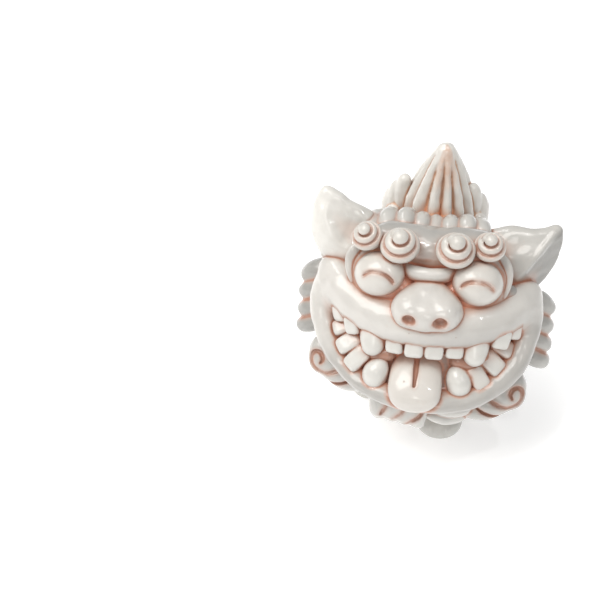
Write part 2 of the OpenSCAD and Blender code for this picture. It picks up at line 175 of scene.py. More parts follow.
@dataclass(frozen=True)
class Setting:
    """Where a piece's own coordinates lie in the statue."""

    origin: Point = (0.0, 0.0, 0.0)
    tilt: float = 90.0

    @property
    def axes(self) -> np.ndarray:
        """The setting's X, Y and Z as columns."""
        return turned((90 - self.tilt, 0, 0))

    def world(self, at: Point) -> np.ndarray:
        """A place in the statue's own millimetres."""
        return np.array(self.origin) + self.axes @ np.array(at[:3], float)


TABLE = Setting()
FACE = Setting(origin=(0.75, -11.0, 40.0), tilt=30.0)
SKULL_C = (0.0, -1.0, -13.0)


class Clay:
    """One piece of clay, as signed distances on a window of the lattice; below zero is clay."""

    def __init__(self, setting: Setting, low: Point, high: Point) -> None:
        """Opens an empty window.

        Args:
            setting: The coordinates in which the piece is described.
            low: Lowest corner of the window in those coordinates.
            high: Highest corner of the window in those coordinates.
        """
        corners = np.array([setting.world((x, y, z)) for x in (low[0], high[0])
                            for y in (low[1], high[1]) for z in (low[2], high[2])])
        bottom = np.maximum(corners.min(0), LATTICE_LOW)
        top = np.minimum(corners.max(0), LATTICE_HIGH)
        self.setting = setting
        self.start = np.floor((bottom - LATTICE_LOW) / PITCH).astype(int)
        self.shape = np.ceil((top - bottom) / PITCH).astype(int)
        self.depth = np.full(self.shape, FAR, np.float32)
        self.paint = np.zeros(self.shape, np.float32)

    @property
    def whole(self) -> Window:
        """The whole window, as a slice along each axis."""
        return tuple(slice(0, int(n)) for n in self.shape)

    def window(self, low: np.ndarray, high: np.ndarray) -> Window:
        """Finds the lattice points between two corners.

        Args:
            low: Lowest corner in the statue's millimetres.
            high: Highest corner in the statue's millimetres.

        Returns:
            A slice along each axis of this piece's window.
        """
        first = np.floor((low - LATTICE_LOW) / PITCH).astype(int) - self.start
        last = np.ceil((high - LATTICE_LOW) / PITCH).astype(int) - self.start + 1
        first = np.clip(first, 0, self.shape)
        last = np.clip(last, 0, self.shape)
        return tuple(slice(int(a), int(b)) for a, b in zip(first, last))

    def offsets(self, where: Window, at: np.ndarray) -> list[np.ndarray]:
        """Gives the way from a place to each lattice point.

        Args:
            where: The part of the window.
            at: The place in the statue's millimetres.

        Returns:
            Three arrays that broadcast together.
        """
        ways = []
        for axis, part in enumerate(where):
            steps = self.start[axis] + np.arange(part.start, part.stop)
            line = LATTICE_LOW[axis] + PITCH * steps - at[axis]
            shape = [1, 1, 1]
            shape[axis] = -1
            ways.append(line.astype(np.float32).reshape(shape))
        return ways

    def local(self, where: Window, at: np.ndarray, axes: np.ndarray) -> list[np.ndarray]:
        """Gives the way from a place to each lattice point, along turned axes.

        Args:
            where: The part of the window.
            at: The place in the statue's millimetres.
            axes: The axes as columns.

        Returns:
            Distances along the three axes.
        """
        x, y, z = self.offsets(where, at)
        a = axes.astype(np.float32)
        return [a[0, k] * x + a[1, k] * y + a[2, k] * z for k in range(3)]

    def join(self, where: Window, depth: np.ndarray, how: Join, soft: float) -> None:
        """Adds a form to the clay, cuts it out, or leaves the clay as it is for a brush.

        Args:
            where: The part of the window that the form reaches.
            depth: The form's signed distances there.
            how: Whether it is added, cut or only brushed on.
            soft: Size of the fillet or of the rounded edge.
        """
        here = self.depth[where]
        if how is Join.ADD:
            self.depth[where] = blended(here, depth, soft)
        elif how is Join.CUT:
            self.depth[where] = -blended(-here, depth, soft)

    def ball(self, at: Point, radii: Point, turn: Point = (0, 0, 0), how: Join = Join.ADD, soft: float = 0.0,
             power: float = 2.0) -> None:
        """Adds or cuts a ball, drawn out along its axes.

        Args:
            at: Its centre.
            radii: Its half sizes.
            turn: Angles about the setting's axes.
            how: Whether it is added or cut.
            soft: Size of the fillet.
            power: 2 for a ball; more for a pillow with flatter sides.
        """
        axes = self.setting.axes @ turned(turn)
        centre = self.setting.world(at)
        reach = np.abs(axes) @ np.array(radii) + 2.0 + soft
        where = self.window(centre - reach, centre + reach)
        parts = [np.abs(v) for v in self.local(where, centre, axes)]
        if power == 2.0:
            near = np.sqrt(sum((v / r) ** 2 for v, r in zip(parts, radii)))
            far = np.sqrt(sum((v / (r * r)) ** 2 for v, r in zip(parts, radii)))
            depth = near * (near - 1) / np.maximum(far, 1e-6)
        else:
            near = sum((v / r) ** power for v, r in zip(parts, radii)) ** (1 / power)
            depth = (near - 1) * min(radii)
        self.join(where, depth, how, soft)

    def stretch(self, first: tuple[Point, Point], last: tuple[Point, Point], steps: int = 9,
                soft: float = 0.0) -> None:
        """Adds the form that a ball sweeps while it moves and changes its size.

        Args:
            first: The ball's centre and half sizes at the start.
            last: Its centre and half sizes at the end.
            steps: How many balls stand for the sweep.
            soft: Size of the fillet.
        """
        for i in range(steps + 1):
            t = i / steps
            centre, radii = (tuple(p + (q - p) * t for p, q in zip(first[k], last[k])) for k in (0, 1))
            self.ball(centre, radii, soft=soft)

    def roll(self, keys: Keys, hub: Point = SKULL_C, step: float = 0.45, how: Join = Join.ADD,
             soft: float = 0.0, wash: float = 0.0) -> None:
        """Adds or cuts a roll of clay along a curve.

        Args:
            keys: Rows of x, y, z, half width and half thickness.
            hub: The thickness points away from this place.
            step: Largest distance between two samples.
            how: Whether it is added, cut or only brushed on.
            soft: Size of the fillet where it meets the clay.
            wash: How much wash the brush leaves along it.
        """
        rows = spline(keys, step)
        middle = self.setting.world(hub)
        spots = np.array([self.setting.world(r) for r in rows])
        reach = float(rows[:, 3:5].max()) + 1.0 + soft
        whole = self.window(spots.min(0) - reach, spots.max(0) + reach)
        corner = [s.start for s in whole]
        depth = np.full([s.stop - s.start for s in whole], FAR, np.float32)
        for i in range(len(rows) - 1):
            a, b = spots[i], spots[i + 1]
            length = float(np.linalg.norm(b - a))
            if length < 1e-6:
                continue
            along = (b - a) / length
            side = unit(np.cross(along, (a + b) / 2 - middle))
            out = np.cross(side, along)
            near = float(max(rows[i, 3:5].max(), rows[i + 1, 3:5].max())) + 1.0 + soft
            where = self.window(np.minimum(a, b) - near, np.maximum(a, b) + near)
            if any(s.stop <= s.start for s in where):
                continue
            across, up, forth = self.local(where, a, np.stack([side, out, along], 1))
            share = np.clip(forth / length, 0, 1)
            beyond = forth - share * length
            wide = rows[i, 3] + (rows[i + 1, 3] - rows[i, 3]) * share
            thick = rows[i, 4] + (rows[i + 1, 4] - rows[i, 4]) * share
            least = np.minimum(wide, thick)
            first = np.sqrt((across / wide) ** 2 + (up / thick) ** 2 + (beyond / least) ** 2)
            second = np.sqrt((across / wide**2) ** 2 + (up / thick**2) ** 2 + (beyond / least**2) ** 2)
            shape = (first * (first - 1) / np.maximum(second, 1e-6)).astype(np.float32)
            inner = tuple(slice(s.start - c, s.stop - c) for s, c in zip(where, corner))
            np.minimum(depth[inner], shape, out=depth[inner])
        self.join(whole, depth, how, soft)
        if wash > 0:
            core = np.clip((WASH_EDGE - depth) / WASH_FADE, 0, 1)
            rim = WASH_RIM * np.clip(1 - depth, 0, 1)
            np.maximum(self.paint[whole], wash * np.maximum(core, rim), out=self.paint[whole])

    def line(self, keys: Keys, width: float = 0.4, hub: Point = SKULL_C, wash: float = 1.0) -> None:
        """Presses a thin line into the clay and brushes wash into it.

        Args:
            keys: Rows of x, y and z along the clay's surface.
            width: Half the line's width, in millimetres.
            hub: The line is pressed towards this place.
            wash: How much wash stays in it.
        """
        last = len(keys) - 1
        rows = [(*k[:3], width * (0.55 if i in (0, last) else 1), width * 1.5) for i, k in enumerate(keys)]
        self.roll(rows, hub=hub, how=Join.CUT, soft=0.3, wash=wash)

    def brush(self, keys: Keys, wash: float, hub: Point = SKULL_C) -> None:
        """Brushes wash on without pressing the clay.

        Args:
            keys: Rows of x, y, z, half width and half thickness of the brush's reach.
            wash: How much wash it leaves.
            hub: The thickness points away from this place.
        """
        self.roll(keys, hub=hub, step=0.8, how=Join.BRUSH, wash=wash)

    def beyond(self, at: Point, way: Point) -> np.ndarray:
        """Measures how far each lattice point lies beyond a plane.

        Args:
            at: A place on the plane.
            way: The direction that counts as beyond.

        Returns:
            Signed distances over the whole window.
        """
        x, y, z = self.offsets(self.whole, self.setting.world(at))
        out = (self.setting.axes @ unit(np.array(way))).astype(np.float32)
        return out[0] * x + out[1] * y + out[2] * z

    def shave(self, at: Point, way: Point, soft: float = 0.4) -> None:
        """Cuts off the clay beyond a flat cut.

        Args:
            at: A place on the cut.
            way: The direction in which the clay is cut off.
            soft: Size of the rounded edge.
        """
        self.depth = -blended(-self.depth, -self.beyond(at, way), soft)

    def fade(self, at: Point, way: Point, reach: float, least: float) -> None:
        """Thins the brushed wash towards one side.

        Args:
            at: The place where the wash is half thinned.
            way: The direction in which it thins.
            reach: Over how many millimetres it thins.
            least: The share that is left in the end.
        """
        share = np.clip(0.5 + self.beyond(at, way) / reach, 0, 1)
        self.paint = self.paint * (1 - (1 - least) * share)

    def above_table(self) -> None:
        """Presses the clay flat on the table."""
        height = self.offsets(self.whole, np.zeros(3))[2]
        self.depth = np.maximum(self.depth, -height)

    def skin(self) -> tuple[np.ndarray, np.ndarray]:
        """Skins the clay.

        Returns:
            Points in millimetres, and faces of four points each.
        """
        self.depth[[0, -1], :, :] = FAR
        self.depth[:, [0, -1], :] = FAR
        self.depth[:, :, [0, -1]] = FAR
        grid = openvdb.FloatGrid(FAR)
        grid.copyFromArray(self.depth)
        grid.transform = openvdb.createLinearTransform(voxelSize=PITCH)
        points, _, quads = grid.convertToPolygons(isovalue=0.0, adaptivity=0.0)
        return points + LATTICE_LOW + PITCH * self.start, quads[:, ::-1]


class Crevices:
    """How hollow the whole statue is, at every lattice point, at two scales."""

    def __init__(self) -> None:
        """Opens an empty lattice over the statue."""
        shape = np.ceil((LATTICE_HIGH - LATTICE_LOW) / PITCH).astype(int) + 2
        self.clay = np.zeros(shape, np.float32)
        self.fine = self.clay
        self.broad = self.clay

    def press(self, piece: Clay) -> None:
        """Adds a piece of clay to the whole."""
        filled = np.clip(0.5 - piece.depth / PITCH, 0, 1)
        where = tuple(slice(int(a), int(a + n)) for a, n in zip(piece.start, filled.shape))
        np.maximum(self.clay[where], filled, out=self.clay[where])

    @staticmethod
    def spread(values: np.ndarray, reach: int, times: int) -> np.ndarray:
        """Averages over a neighbourhood.

        Args:
            values: What to average.
            reach: How many points each way.
            times: How often it is repeated.

        Returns:
            The averages on the same points.
        """
        for _ in range(times):
            for axis in range(3):
                width = [(0, 0)] * 3
                width[axis] = (reach + 1, reach)
                total = np.cumsum(np.pad(values, width, mode="edge"), axis=axis, dtype=np.float32)
                count = values.shape[axis]
                ahead = np.take(total, np.arange(2 * reach + 1, 2 * reach + 1 + count), axis=axis)
                behind = np.take(total, np.arange(count), axis=axis)
                values = (ahead - behind) / (2 * reach + 1)
        return values

    def settle(self) -> None:
        """Measures the hollows once every piece is pressed in."""
        self.fine = 0.5 * (self.spread(self.clay, 2, 2) + self.spread(self.clay, 4, 2))
        self.broad = self.spread(self.clay[::2, ::2, ::2], 5, 2)

    @staticmethod
    def at(values: np.ndarray, points: np.ndarray, pitch: float, low: np.ndarray = LATTICE_LOW) -> np.ndarray:
        """Reads a measure at places between the lattice points.

        Args:
            values: The measure.
            points: Places in the statue's millimetres.
            pitch: The measure's own spacing.
            low: The measure's lowest corner.

        Returns:
            One value per place.
        """
        spot = (points - low) / pitch
        cell = np.clip(np.floor(spot).astype(int), 0, np.array(values.shape) - 2)
        part = np.clip(spot - cell, 0, 1)
        total = np.zeros(len(points))
        for corner in np.ndindex(2, 2, 2):
            weight = np.prod(np.where(corner, part, 1 - part), axis=1)
            total += weight * values[tuple((cell + corner).T)]
        return total


@dataclass(frozen=True)
class Glaze:
    """Clear gloss over off-white clay, with a wash that stays in the recesses.

    The wash starts where a point's crevice measure is wash_from and is full, at wash_most, from wash_to. In the
    deepest hollows it is painted brighter, as painted light bounced into them. Warmth tints the specks and the
    halo beside the wash, and pores is the share of pinholes that show.
    """

    name: str
    clay: Point = (0.665, 0.640, 0.600)
    wash: Point = (0.43, 0.212, 0.143)
    wash_from: float = 0.54
    wash_to: float = 0.68
    wash_most: float = 0.92
    warmth: Point = (0.62, 0.47, 0.39)
    pinhole: Point = (0.42, 0.30, 0.25)
    roughness: float = 0.30
    pores: float = 0.45

    def material(self) -> bpy.types.Material:
        """Makes the finish.

        Returns:
            A new material.
        """
        made = bpy.data.materials.new(self.name)
        made.use_nodes = True
        tree = made.node_tree
        tree.nodes.clear()
        links = tree.links

        def node(kind: str, **values: object) -> bpy.types.Node:
            """Adds a node and sets its properties."""
            new = tree.nodes.new(kind)
            for key, value in values.items():
                setattr(new, key, value)
            return new

        def measure(name: str) -> Socket:
            """Reads what the mesh was told about the statue."""
            return node("ShaderNodeAttribute", attribute_name=name).outputs["Fac"]

        def noise(scale: float, detail: float, roughness: float = 0.5) -> Socket:
            """Adds a noise over the clay; the scale is in features per metre."""
            new = node("ShaderNodeTexNoise")
            new.inputs["Scale"].default_value = scale
            new.inputs["Detail"].default_value = detail
            new.inputs["Roughness"].default_value = roughness
            links.new(place.outputs["Object"], new.inputs["Vector"])
            return new.outputs["Fac"]

        def ramp(value: Socket, low: float, high: float, top: float = 1.0, base: float = 0.0) -> Socket:
            """Maps a value from low and high to base and top, smoothly."""
            new = node("ShaderNodeMapRange", interpolation_type="SMOOTHSTEP")
            links.new(value, new.inputs["Value"])
            new.inputs["From Min"].default_value = low
            new.inputs["From Max"].default_value = high
            new.inputs["To Min"].default_value = base
            new.inputs["To Max"].default_value = top
            return new.outputs["Result"]

        def maths(kind: str, a: Socket, b: Socket | float) -> Socket:
            """Combines two values."""
            new = node("ShaderNodeMath", operation=kind)
            links.new(a, new.inputs[0])
            if isinstance(b, float):
                new.inputs[1].default_value = b
            else:
                links.new(b, new.inputs[1])
            return new.outputs[0]

        def swing(value: Socket, share: float) -> Socket:
            """Makes a noise swing to both sides of nought by a share."""
            return maths("MULTIPLY", maths("SUBTRACT", value, 0.5), share)

        def mix(share: Socket, a: Socket | Point, b: Socket | Point) -> Socket:
            """Mixes two colours by a share."""
            new = node("ShaderNodeMix", data_type="RGBA")
            links.new(share, new.inputs["Factor"])
            for slot, colour in ((6, a), (7, b)):
                if isinstance(colour, tuple):
                    new.inputs[slot].default_value = (*colour, 1)
                else:
                    links.new(colour, new.inputs[slot])
            return new.outputs[2]

        place = node("ShaderNodeTexCoord")
        crevice, hollow, brushed, kept, shade = (measure(name) for name in MEASURES)

        # The clay: darkened by the painted shade it is told, and by random clouds; speckled and warmer beside the
        # wash.
        patches = noise(260, 3)
        fine = noise(1500, 4, 0.6)
        cast = maths("MINIMUM", maths("ADD", shade, maths("MULTIPLY", ramp(patches, 0.35, 0.7), -0.05)), 1.0)
        shaded_and_clouded = mix(cast, (0.0, 0.0, 0.0), self.clay)
        speckled = mix(ramp(fine, 0.55, 0.78, 0.16), shaded_and_clouded, self.warmth)
        around = maths("MULTIPLY", ramp(hollow, 0.46, 0.70, 0.85), kept)
        halo = maths("MAXIMUM", around, ramp(brushed, 0.01, 0.35, 0.5))
        warmed = mix(halo, speckled, tuple(0.6 * a + 0.4 * b for a, b in zip(self.warmth, self.wash)))

        # The wash: held by the crevices, and brushed on in uneven strokes.
        uneven = swing(patches, 0.09)
        grit = swing(fine, 0.06)
        depth = maths("ADD", maths("ADD", crevice, uneven), grit)
        creviced = maths("MULTIPLY", ramp(depth, self.wash_from, self.wash_to, self.wash_most), kept)
        streaks = swing(noise(700, 2), 0.7)
        stroke = maths("ADD", maths("ADD", brushed, swing(fine, 0.4)), streaks)
        painted = ramp(maths("MULTIPLY", stroke, ramp(brushed, 0.05, 0.3)), 0.30, 0.95, self.wash_most)
        # Painted light: in the deepest hollows the wash is made brighter, standing in for light bounced into
        # them.
        deep = mix(ramp(hollow, 0.62, 0.84), self.wash, tuple(1.75 * c for c in self.wash))
        washed = mix(maths("MAXIMUM", creviced, painted), warmed, deep)

        # The pinholes: one cell in twelve or so has one.
        cells = node("ShaderNodeTexVoronoi", feature="F1")
        cells.inputs["Scale"].default_value = 420
        links.new(place.outputs["Object"], cells.inputs["Vector"])
        chosen = node("ShaderNodeSeparateColor")
        links.new(cells.outputs["Color"], chosen.inputs["Color"])
        dot = ramp(cells.outputs["Distance"], 0.10, 0.05)
        pin = maths("MULTIPLY", dot, ramp(chosen.outputs["Red"], 0.90, 0.92))
        coloured = mix(maths("MULTIPLY", pin, self.pores), washed, self.pinhole)

        # The surface: uneven under a clear, glossy coat.
        height = maths("ADD", maths("MULTIPLY", noise(380, 2), 0.75), maths("MULTIPLY", fine, 0.10))
        height = maths("ADD", height, maths("MULTIPLY", noise(150, 1), 1.2))
        pitted = maths("SUBTRACT", height, maths("MULTIPLY", pin, 0.5))
        bump = node("ShaderNodeBump")
        bump.inputs["Strength"].default_value = 0.45
        bump.inputs["Distance"].default_value = 0.0003
        links.new(pitted, bump.inputs["Height"])

        shader = node("ShaderNodeBsdfPrincipled")
        shader.inputs["Coat Weight"].default_value = 0.85
        shader.inputs["Coat Roughness"].default_value = 0.04
        shader.inputs["Coat IOR"].default_value = 1.5
        shader.inputs["IOR"].default_value = 1.45
        links.new(coloured, shader.inputs["Base Color"])
        links.new(ramp(fine, 0.3, 0.75, self.roughness + 0.12, self.roughness), shader.inputs["Roughness"])
        links.new(bump.outputs["Normal"], shader.inputs["Normal"])
        links.new(bump.outputs["Normal"], shader.inputs["Coat Normal"])
        output = node("ShaderNodeOutputMaterial")
        links.new(shader.outputs["BSDF"], output.inputs["Surface"])
        return made


class Finish(Enum):
    """The statue's finishes, by material slot."""

    # One off-white glaze throughout, its clay set lighter or darker finish by finish. The ears' clay is painted
    # lighter as painted light on the lit right ear, and the legs' clay lighter as painted light against the shade
    # they sit in.
    BODY = Glaze("glazed_body", clay=(0.60, 0.585, 0.55), wash_most=0.6)
    FACE = Glaze("glazed_face")
    MANE = Glaze("glazed_mane", clay=(0.61, 0.595, 0.56), wash_most=0.88)
    TAIL = Glaze("glazed_tail", clay=(0.72, 0.695, 0.65), wash=(0.60, 0.36, 0.235), wash_most=0.85)
    CURLS = Glaze("glazed_curls", clay=(0.62, 0.595, 0.55))
    EARS = Glaze("glazed_ears", clay=(0.75, 0.73, 0.685), wash_most=0.7)
    LEGS = Glaze("glazed_legs", clay=(0.70, 0.685, 0.64), wash_most=0.5)
    TEETH = Glaze("glazed_teeth", clay=(0.68, 0.665, 0.625))
    EYES = Glaze("glazed_eyes", clay=(0.66, 0.63, 0.585))
    TONGUE = Glaze("glazed_tongue", clay=(0.66, 0.625, 0.58))


@dataclass(frozen=True)
class Dimming:
    """Painted shade that makes a piece darker towards one side, in face coordinates.

    It starts at a place, goes along a way, and is at its full amount after reach millimetres.
    """

    amount: float = 0.0
    at: Point = (0, -4, 0)
    way: Point = (0, -1, 0)
    reach: float = 8.3

    def over(self, local: np.ndarray) -> np.ndarray:
        """Says how much darker each place is.

        Args:
            local: Places in face coordinates.

        Returns:
            What is taken from the shade of each place.
        """
        return self.amount * np.clip((local - np.array(self.at)) @ np.array(self.way) / self.reach, 0, 1)


@dataclass
class Piece:
    """One piece of clay, named for the CAD node it stands for, with its finish.

    Wobble is the height of the finger waves and seed picks them. Wash is the share of wash that stays on the
    piece. Wash pools beside it, on its neighbours, within pool millimetres and up to the share pooled. Shade is
    how bright its clay is; below one it is mostly painted shade, for how dark the piece falls in the light, and
    dimming paints more shade towards one side.
    """

    node: str
    clay: Clay
    finish: Finish
    wobble: float = 0.05
    seed: int = 1
    wash: float = 1.0
    bare_top: bool = False
    pool: float = 0.5
    pooled: float = 0.7
    shade: float = 1.0
    dimming: Dimming = Dimming()


@dataclass
class Kiln:
    """Takes the pieces, measures the whole statue and turns each piece into a glazed mesh."""

    pieces: list[Piece] = field(default_factory=list)
    crevices: Crevices = field(default_factory=Crevices)
    materials: dict[Finish, bpy.types.Material] = field(default_factory=dict)

    def load(self, pieces: list[Piece]) -> None:
        """Takes a sub-assembly's pieces.

        Args:
            pieces: The pieces, finished in clay.
        """
        for piece in pieces:
            self.crevices.press(piece.clay)
            self.pieces.append(piece)
            LOG.info("modelled %s", piece.node)

    @staticmethod
    def unevenness(points: np.ndarray, seed: int) -> np.ndarray:
        """Gives the slow waves that fingers leave in clay.

        Args:
            points: Places in millimetres.
            seed: Picks the waves.

        Returns:
            A number of about one or less for each place.
        """
        chance = np.random.default_rng(seed)
        total = np.zeros(len(points))
        for length, share in ((7.0, 0.5), (4.0, 0.35), (2.2, 0.22)):
            for _ in range(3):
                way = unit(chance.normal(size=3)) * 2 * math.pi / length
                total += share * np.sin(points @ way + chance.uniform(0, 2 * math.pi)) / 1.5
        return total

    def beside(self, piece: Piece, points: np.ndarray) -> np.ndarray:
        """Says how much wash pools on a piece along its seams with the others.

        Args:
            piece: The piece.
            points: Places on it, in millimetres.

        Returns:
            A share of wash for each place.
        """
        share = np.zeros(len(points))
        for other in self.pieces:
            if other is piece or other.pool <= 0:
                continue
            low = LATTICE_LOW + PITCH * other.clay.start
            high = low + PITCH * (np.array(other.clay.shape) - 1)
            near = np.flatnonzero(np.all((points > low) & (points < high), axis=1))
            gap = Crevices.at(other.clay.depth, points[near], PITCH, low)
            share[near] = np.maximum(share[near], other.pooled * np.clip(1.3 * (1 - gap / other.pool), 0, 1))
        return share

    def measures(self, piece: Piece, points: np.ndarray) -> list[np.ndarray]:
        """Measures what the glaze reads, in the order of MEASURES.

        Args:
            piece: The piece.
            points: Places on it, in millimetres.

        Returns:
            One array per measure, with a value for each place.
        """
        clay = piece.clay
        local = (points - np.array(FACE.origin)) @ FACE.axes
        above = local[:, 1]
        bare = np.clip(BARE_RISE * (above - BARE_FROM), 0, BARE_MOST) if piece.bare_top else 0 * above
        kept = piece.wash * (1 - bare)
        own = self.crevices.at(clay.paint, points, PITCH, LATTICE_LOW + PITCH * clay.start)
        # The last measure is painted shade: the piece's shade, less its dimming towards one side.
        return [self.crevices.at(self.crevices.fine, points, PITCH),
                self.crevices.at(self.crevices.broad, points, 2 * PITCH),
                np.maximum(own, kept * self.beside(piece, points)),
                kept, piece.shade - piece.dimming.over(local)]

    def fire(self, piece: Piece) -> bpy.types.Object:
        """Makes a piece's mesh, with its measures and finish.

        Args:
            piece: The piece.

        Returns:
            The new object, riding on the statue's body.
        """
        points, quads = piece.clay.skin()
        mesh = bpy.data.meshes.new(piece.node + "_glazed")
        mesh.vertices.add(len(points))
        mesh.vertices.foreach_set("co", points.astype(np.float32).ravel())
        mesh.loops.add(quads.size)
        mesh.loops.foreach_set("vertex_index", quads.astype(np.int32).ravel())
        mesh.polygons.add(len(quads))
        mesh.polygons.foreach_set("loop_start", np.arange(0, quads.size, 4, dtype=np.int32))
        mesh.update(calc_edges=True)
        mesh.shade_smooth()
        normals = np.zeros(len(points) * 3, np.float32)
        mesh.vertex_normals.foreach_get("vector", normals)
        on_table = np.clip(points[:, 2] / 0.6, 0, 1)
        push = piece.wobble * self.unevenness(points, piece.seed) * on_table
        moved = points + normals.reshape(-1, 3) * push[:, None]
        mesh.vertices.foreach_set("co", (moved * MM).astype(np.float32).ravel())
        for name, values in zip(MEASURES, self.measures(piece, points)):
            layer = mesh.attributes.new(name, "FLOAT", "POINT")
            layer.data.foreach_set("value", values.astype(np.float32))
        mesh.update()
        if piece.finish not in self.materials:
            self.materials[piece.finish] = piece.finish.value.material()
        mesh.materials.append(self.materials[piece.finish])
        made = bpy.data.objects.new(piece.node + "_glazed", mesh)
        bpy.context.scene.collection.objects.link(made)
        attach(made, "root")
        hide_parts(piece.node)
        LOG.info("glazed %s: %d faces", piece.node, len(quads))
        return made

    def fire_all(self) -> None:
        """Measures the statue's hollows, then fires every piece."""
        self.crevices.settle()
        for piece in self.pieces:
            self.fire(piece)


def mirrored(keys: Keys, side: Side) -> Keys:
    """Puts keys given for the left on either side.

    Args:
        keys: Rows whose first number is x.
        side: The side that is wanted.

    Returns:
        The rows on that side.
    """
    return [(side.value * k[0], *k[1:]) for k in keys]


def between(a: float, b: float) -> tuple[float, float]:
    """Puts two values in order, lowest first."""
    return (a, b) if a < b else (b, a)


@dataclass
class Torso:
    """The seated body: chest, belly, rump and shoulders."""

    chest: Point = (11.4, 8.6, 7.4)

    def pieces(self) -> list[Piece]:
        """Models the body.

        Returns:
            The body.
        """
        clay = Clay(TABLE, (-19, -16, -1), (19, 27.4, 34))
        clay.stretch(((0, -3.6, 16.6), self.chest), ((0, 5, 9), (10, 8, 7)))
        clay.stretch(((0, 2, 8), (9, 7, 7)), ((0, 6, 2), (9, 8, 4)))
        clay.stretch(((0, 7, 16), (12, 9, 9)), ((0, 12, 6), (13, 9, 7)))
        clay.stretch(((0, 12, 16), (10.6, 9, 9)), ((0, 16.4, 6), (10.5, 9.4, 7)))
        for side in Side:
            s = side.value
            clay.roll([(s * 9, 0, 18, 5.6, 5.6), (s * 6, 9, 25, 6, 6)], hub=(0, 5, 0), soft=1.5)
            clay.roll([(s * 7, 5, 19, 5, 5), (s * 5, 13, 22, 5.6, 5.6)], hub=(0, 5, 0), soft=1.5)
        clay.above_table()
        return [Piece("body", clay, Finish.BODY, wobble=0.12, seed=3, wash=0.5, pool=0)]


@dataclass
class Skull:
    """The core of the head: brow, gums and the hollow mouth."""

    half: Point = (19.5, 17.5, 13.0)

    def pieces(self) -> list[Piece]:
        """Models the head.

        Returns:
            The head.
        """
        clay = Clay(FACE, (-22, -22, -28), (22, 20, 5))
        clay.ball(SKULL_C, self.half)
        clay.stretch(((-8.6, 11.6, -5), (5.6, 4.6, 5.6)), ((-0.6, 11.4, -3.2), (5, 4.6, 5)), soft=0.4)
        clay.stretch(((8.6, 11.6, -5), (5.6, 4.6, 5.6)), ((-0.6, 11.4, -3.2), (5, 4.6, 5)), soft=0.4)
        clay.stretch(((0, -14, -8), (13, 6, 7.5)), ((0, 2, -4), (12, 7, 4.5)))
        for side in Side:
            s = side.value
            clay.ball((s * EYE_X - EYES_OFF, 6.3, -1.6), (5.9, 5.5, 4.2), soft=1.5)
            clay.roll([(s * 5.4, 3.4, -0.6, 2.6, 2.6), (s * 11, 1.6, -1, 2.6, 2.6),
                       (s * 16, 3.4, -3.6, 2.2, 2.2)], soft=1.5)
        throat = (0, -8, -40)
        clay.roll([(-18.6, -5.5, -3.8, 1.4, 3), (-15, -8.5, 0.2, 4.2, 4), (-8, -11.5, 3.6, 5.6, 4.4),
                   (0, -12.4, 4.6, 5.8, 4.6), (8, -11.5, 3.6, 5.6, 4.4), (15, -8.5, 0.2, 4.2, 4),
                   (18.6, -5.5, -3.8, 1.4, 3)], hub=throat, how=Join.CUT, soft=0.8, wash=1.0)
        for side in Side:
            clay.roll(mirrored([(7.2, -10.6, -0.6, 1.7, 1.9), (9.4, -10.8, -1.0, 2, 2),
                                (12, -9.6, -2, 1.8, 2)], side), hub=throat, soft=0.6, wash=1.0)
        for side in Side:
            clay.roll(mirrored([(0, -7, -2.7, 2, 2), (8, -6.2, -3.6, 2, 2),
                                (16, -2.6, -7.4, 1.7, 1.7)], side), soft=0.8)
            clay.roll(mirrored([(0, -18, -2, 2, 2), (6, -17, -2.6, 2, 2), (11, -15, -4.2, 2, 2),
                                (17.4, -7, -8, 1.7, 1.7)], side), soft=0.8)
        clay.brush([(-5, 5.5, -0.5, 1.4, 3), (0, 5.7, 0.5, 1.3, 3), (4.6, 5.5, -0.5, 1.4, 3)], wash=0.9)
        clay.brush([(-6.6, 8.7, -1, 0.4, 3), (-1, 8.8, 0, 0.3, 3), (5.2, 8.4, -1, 0.4, 3)], wash=0.65)
        return [Piece("head", clay, Finish.FACE, wobble=0.08, seed=4, bare_top=True, pool=0, shade=0.62)]


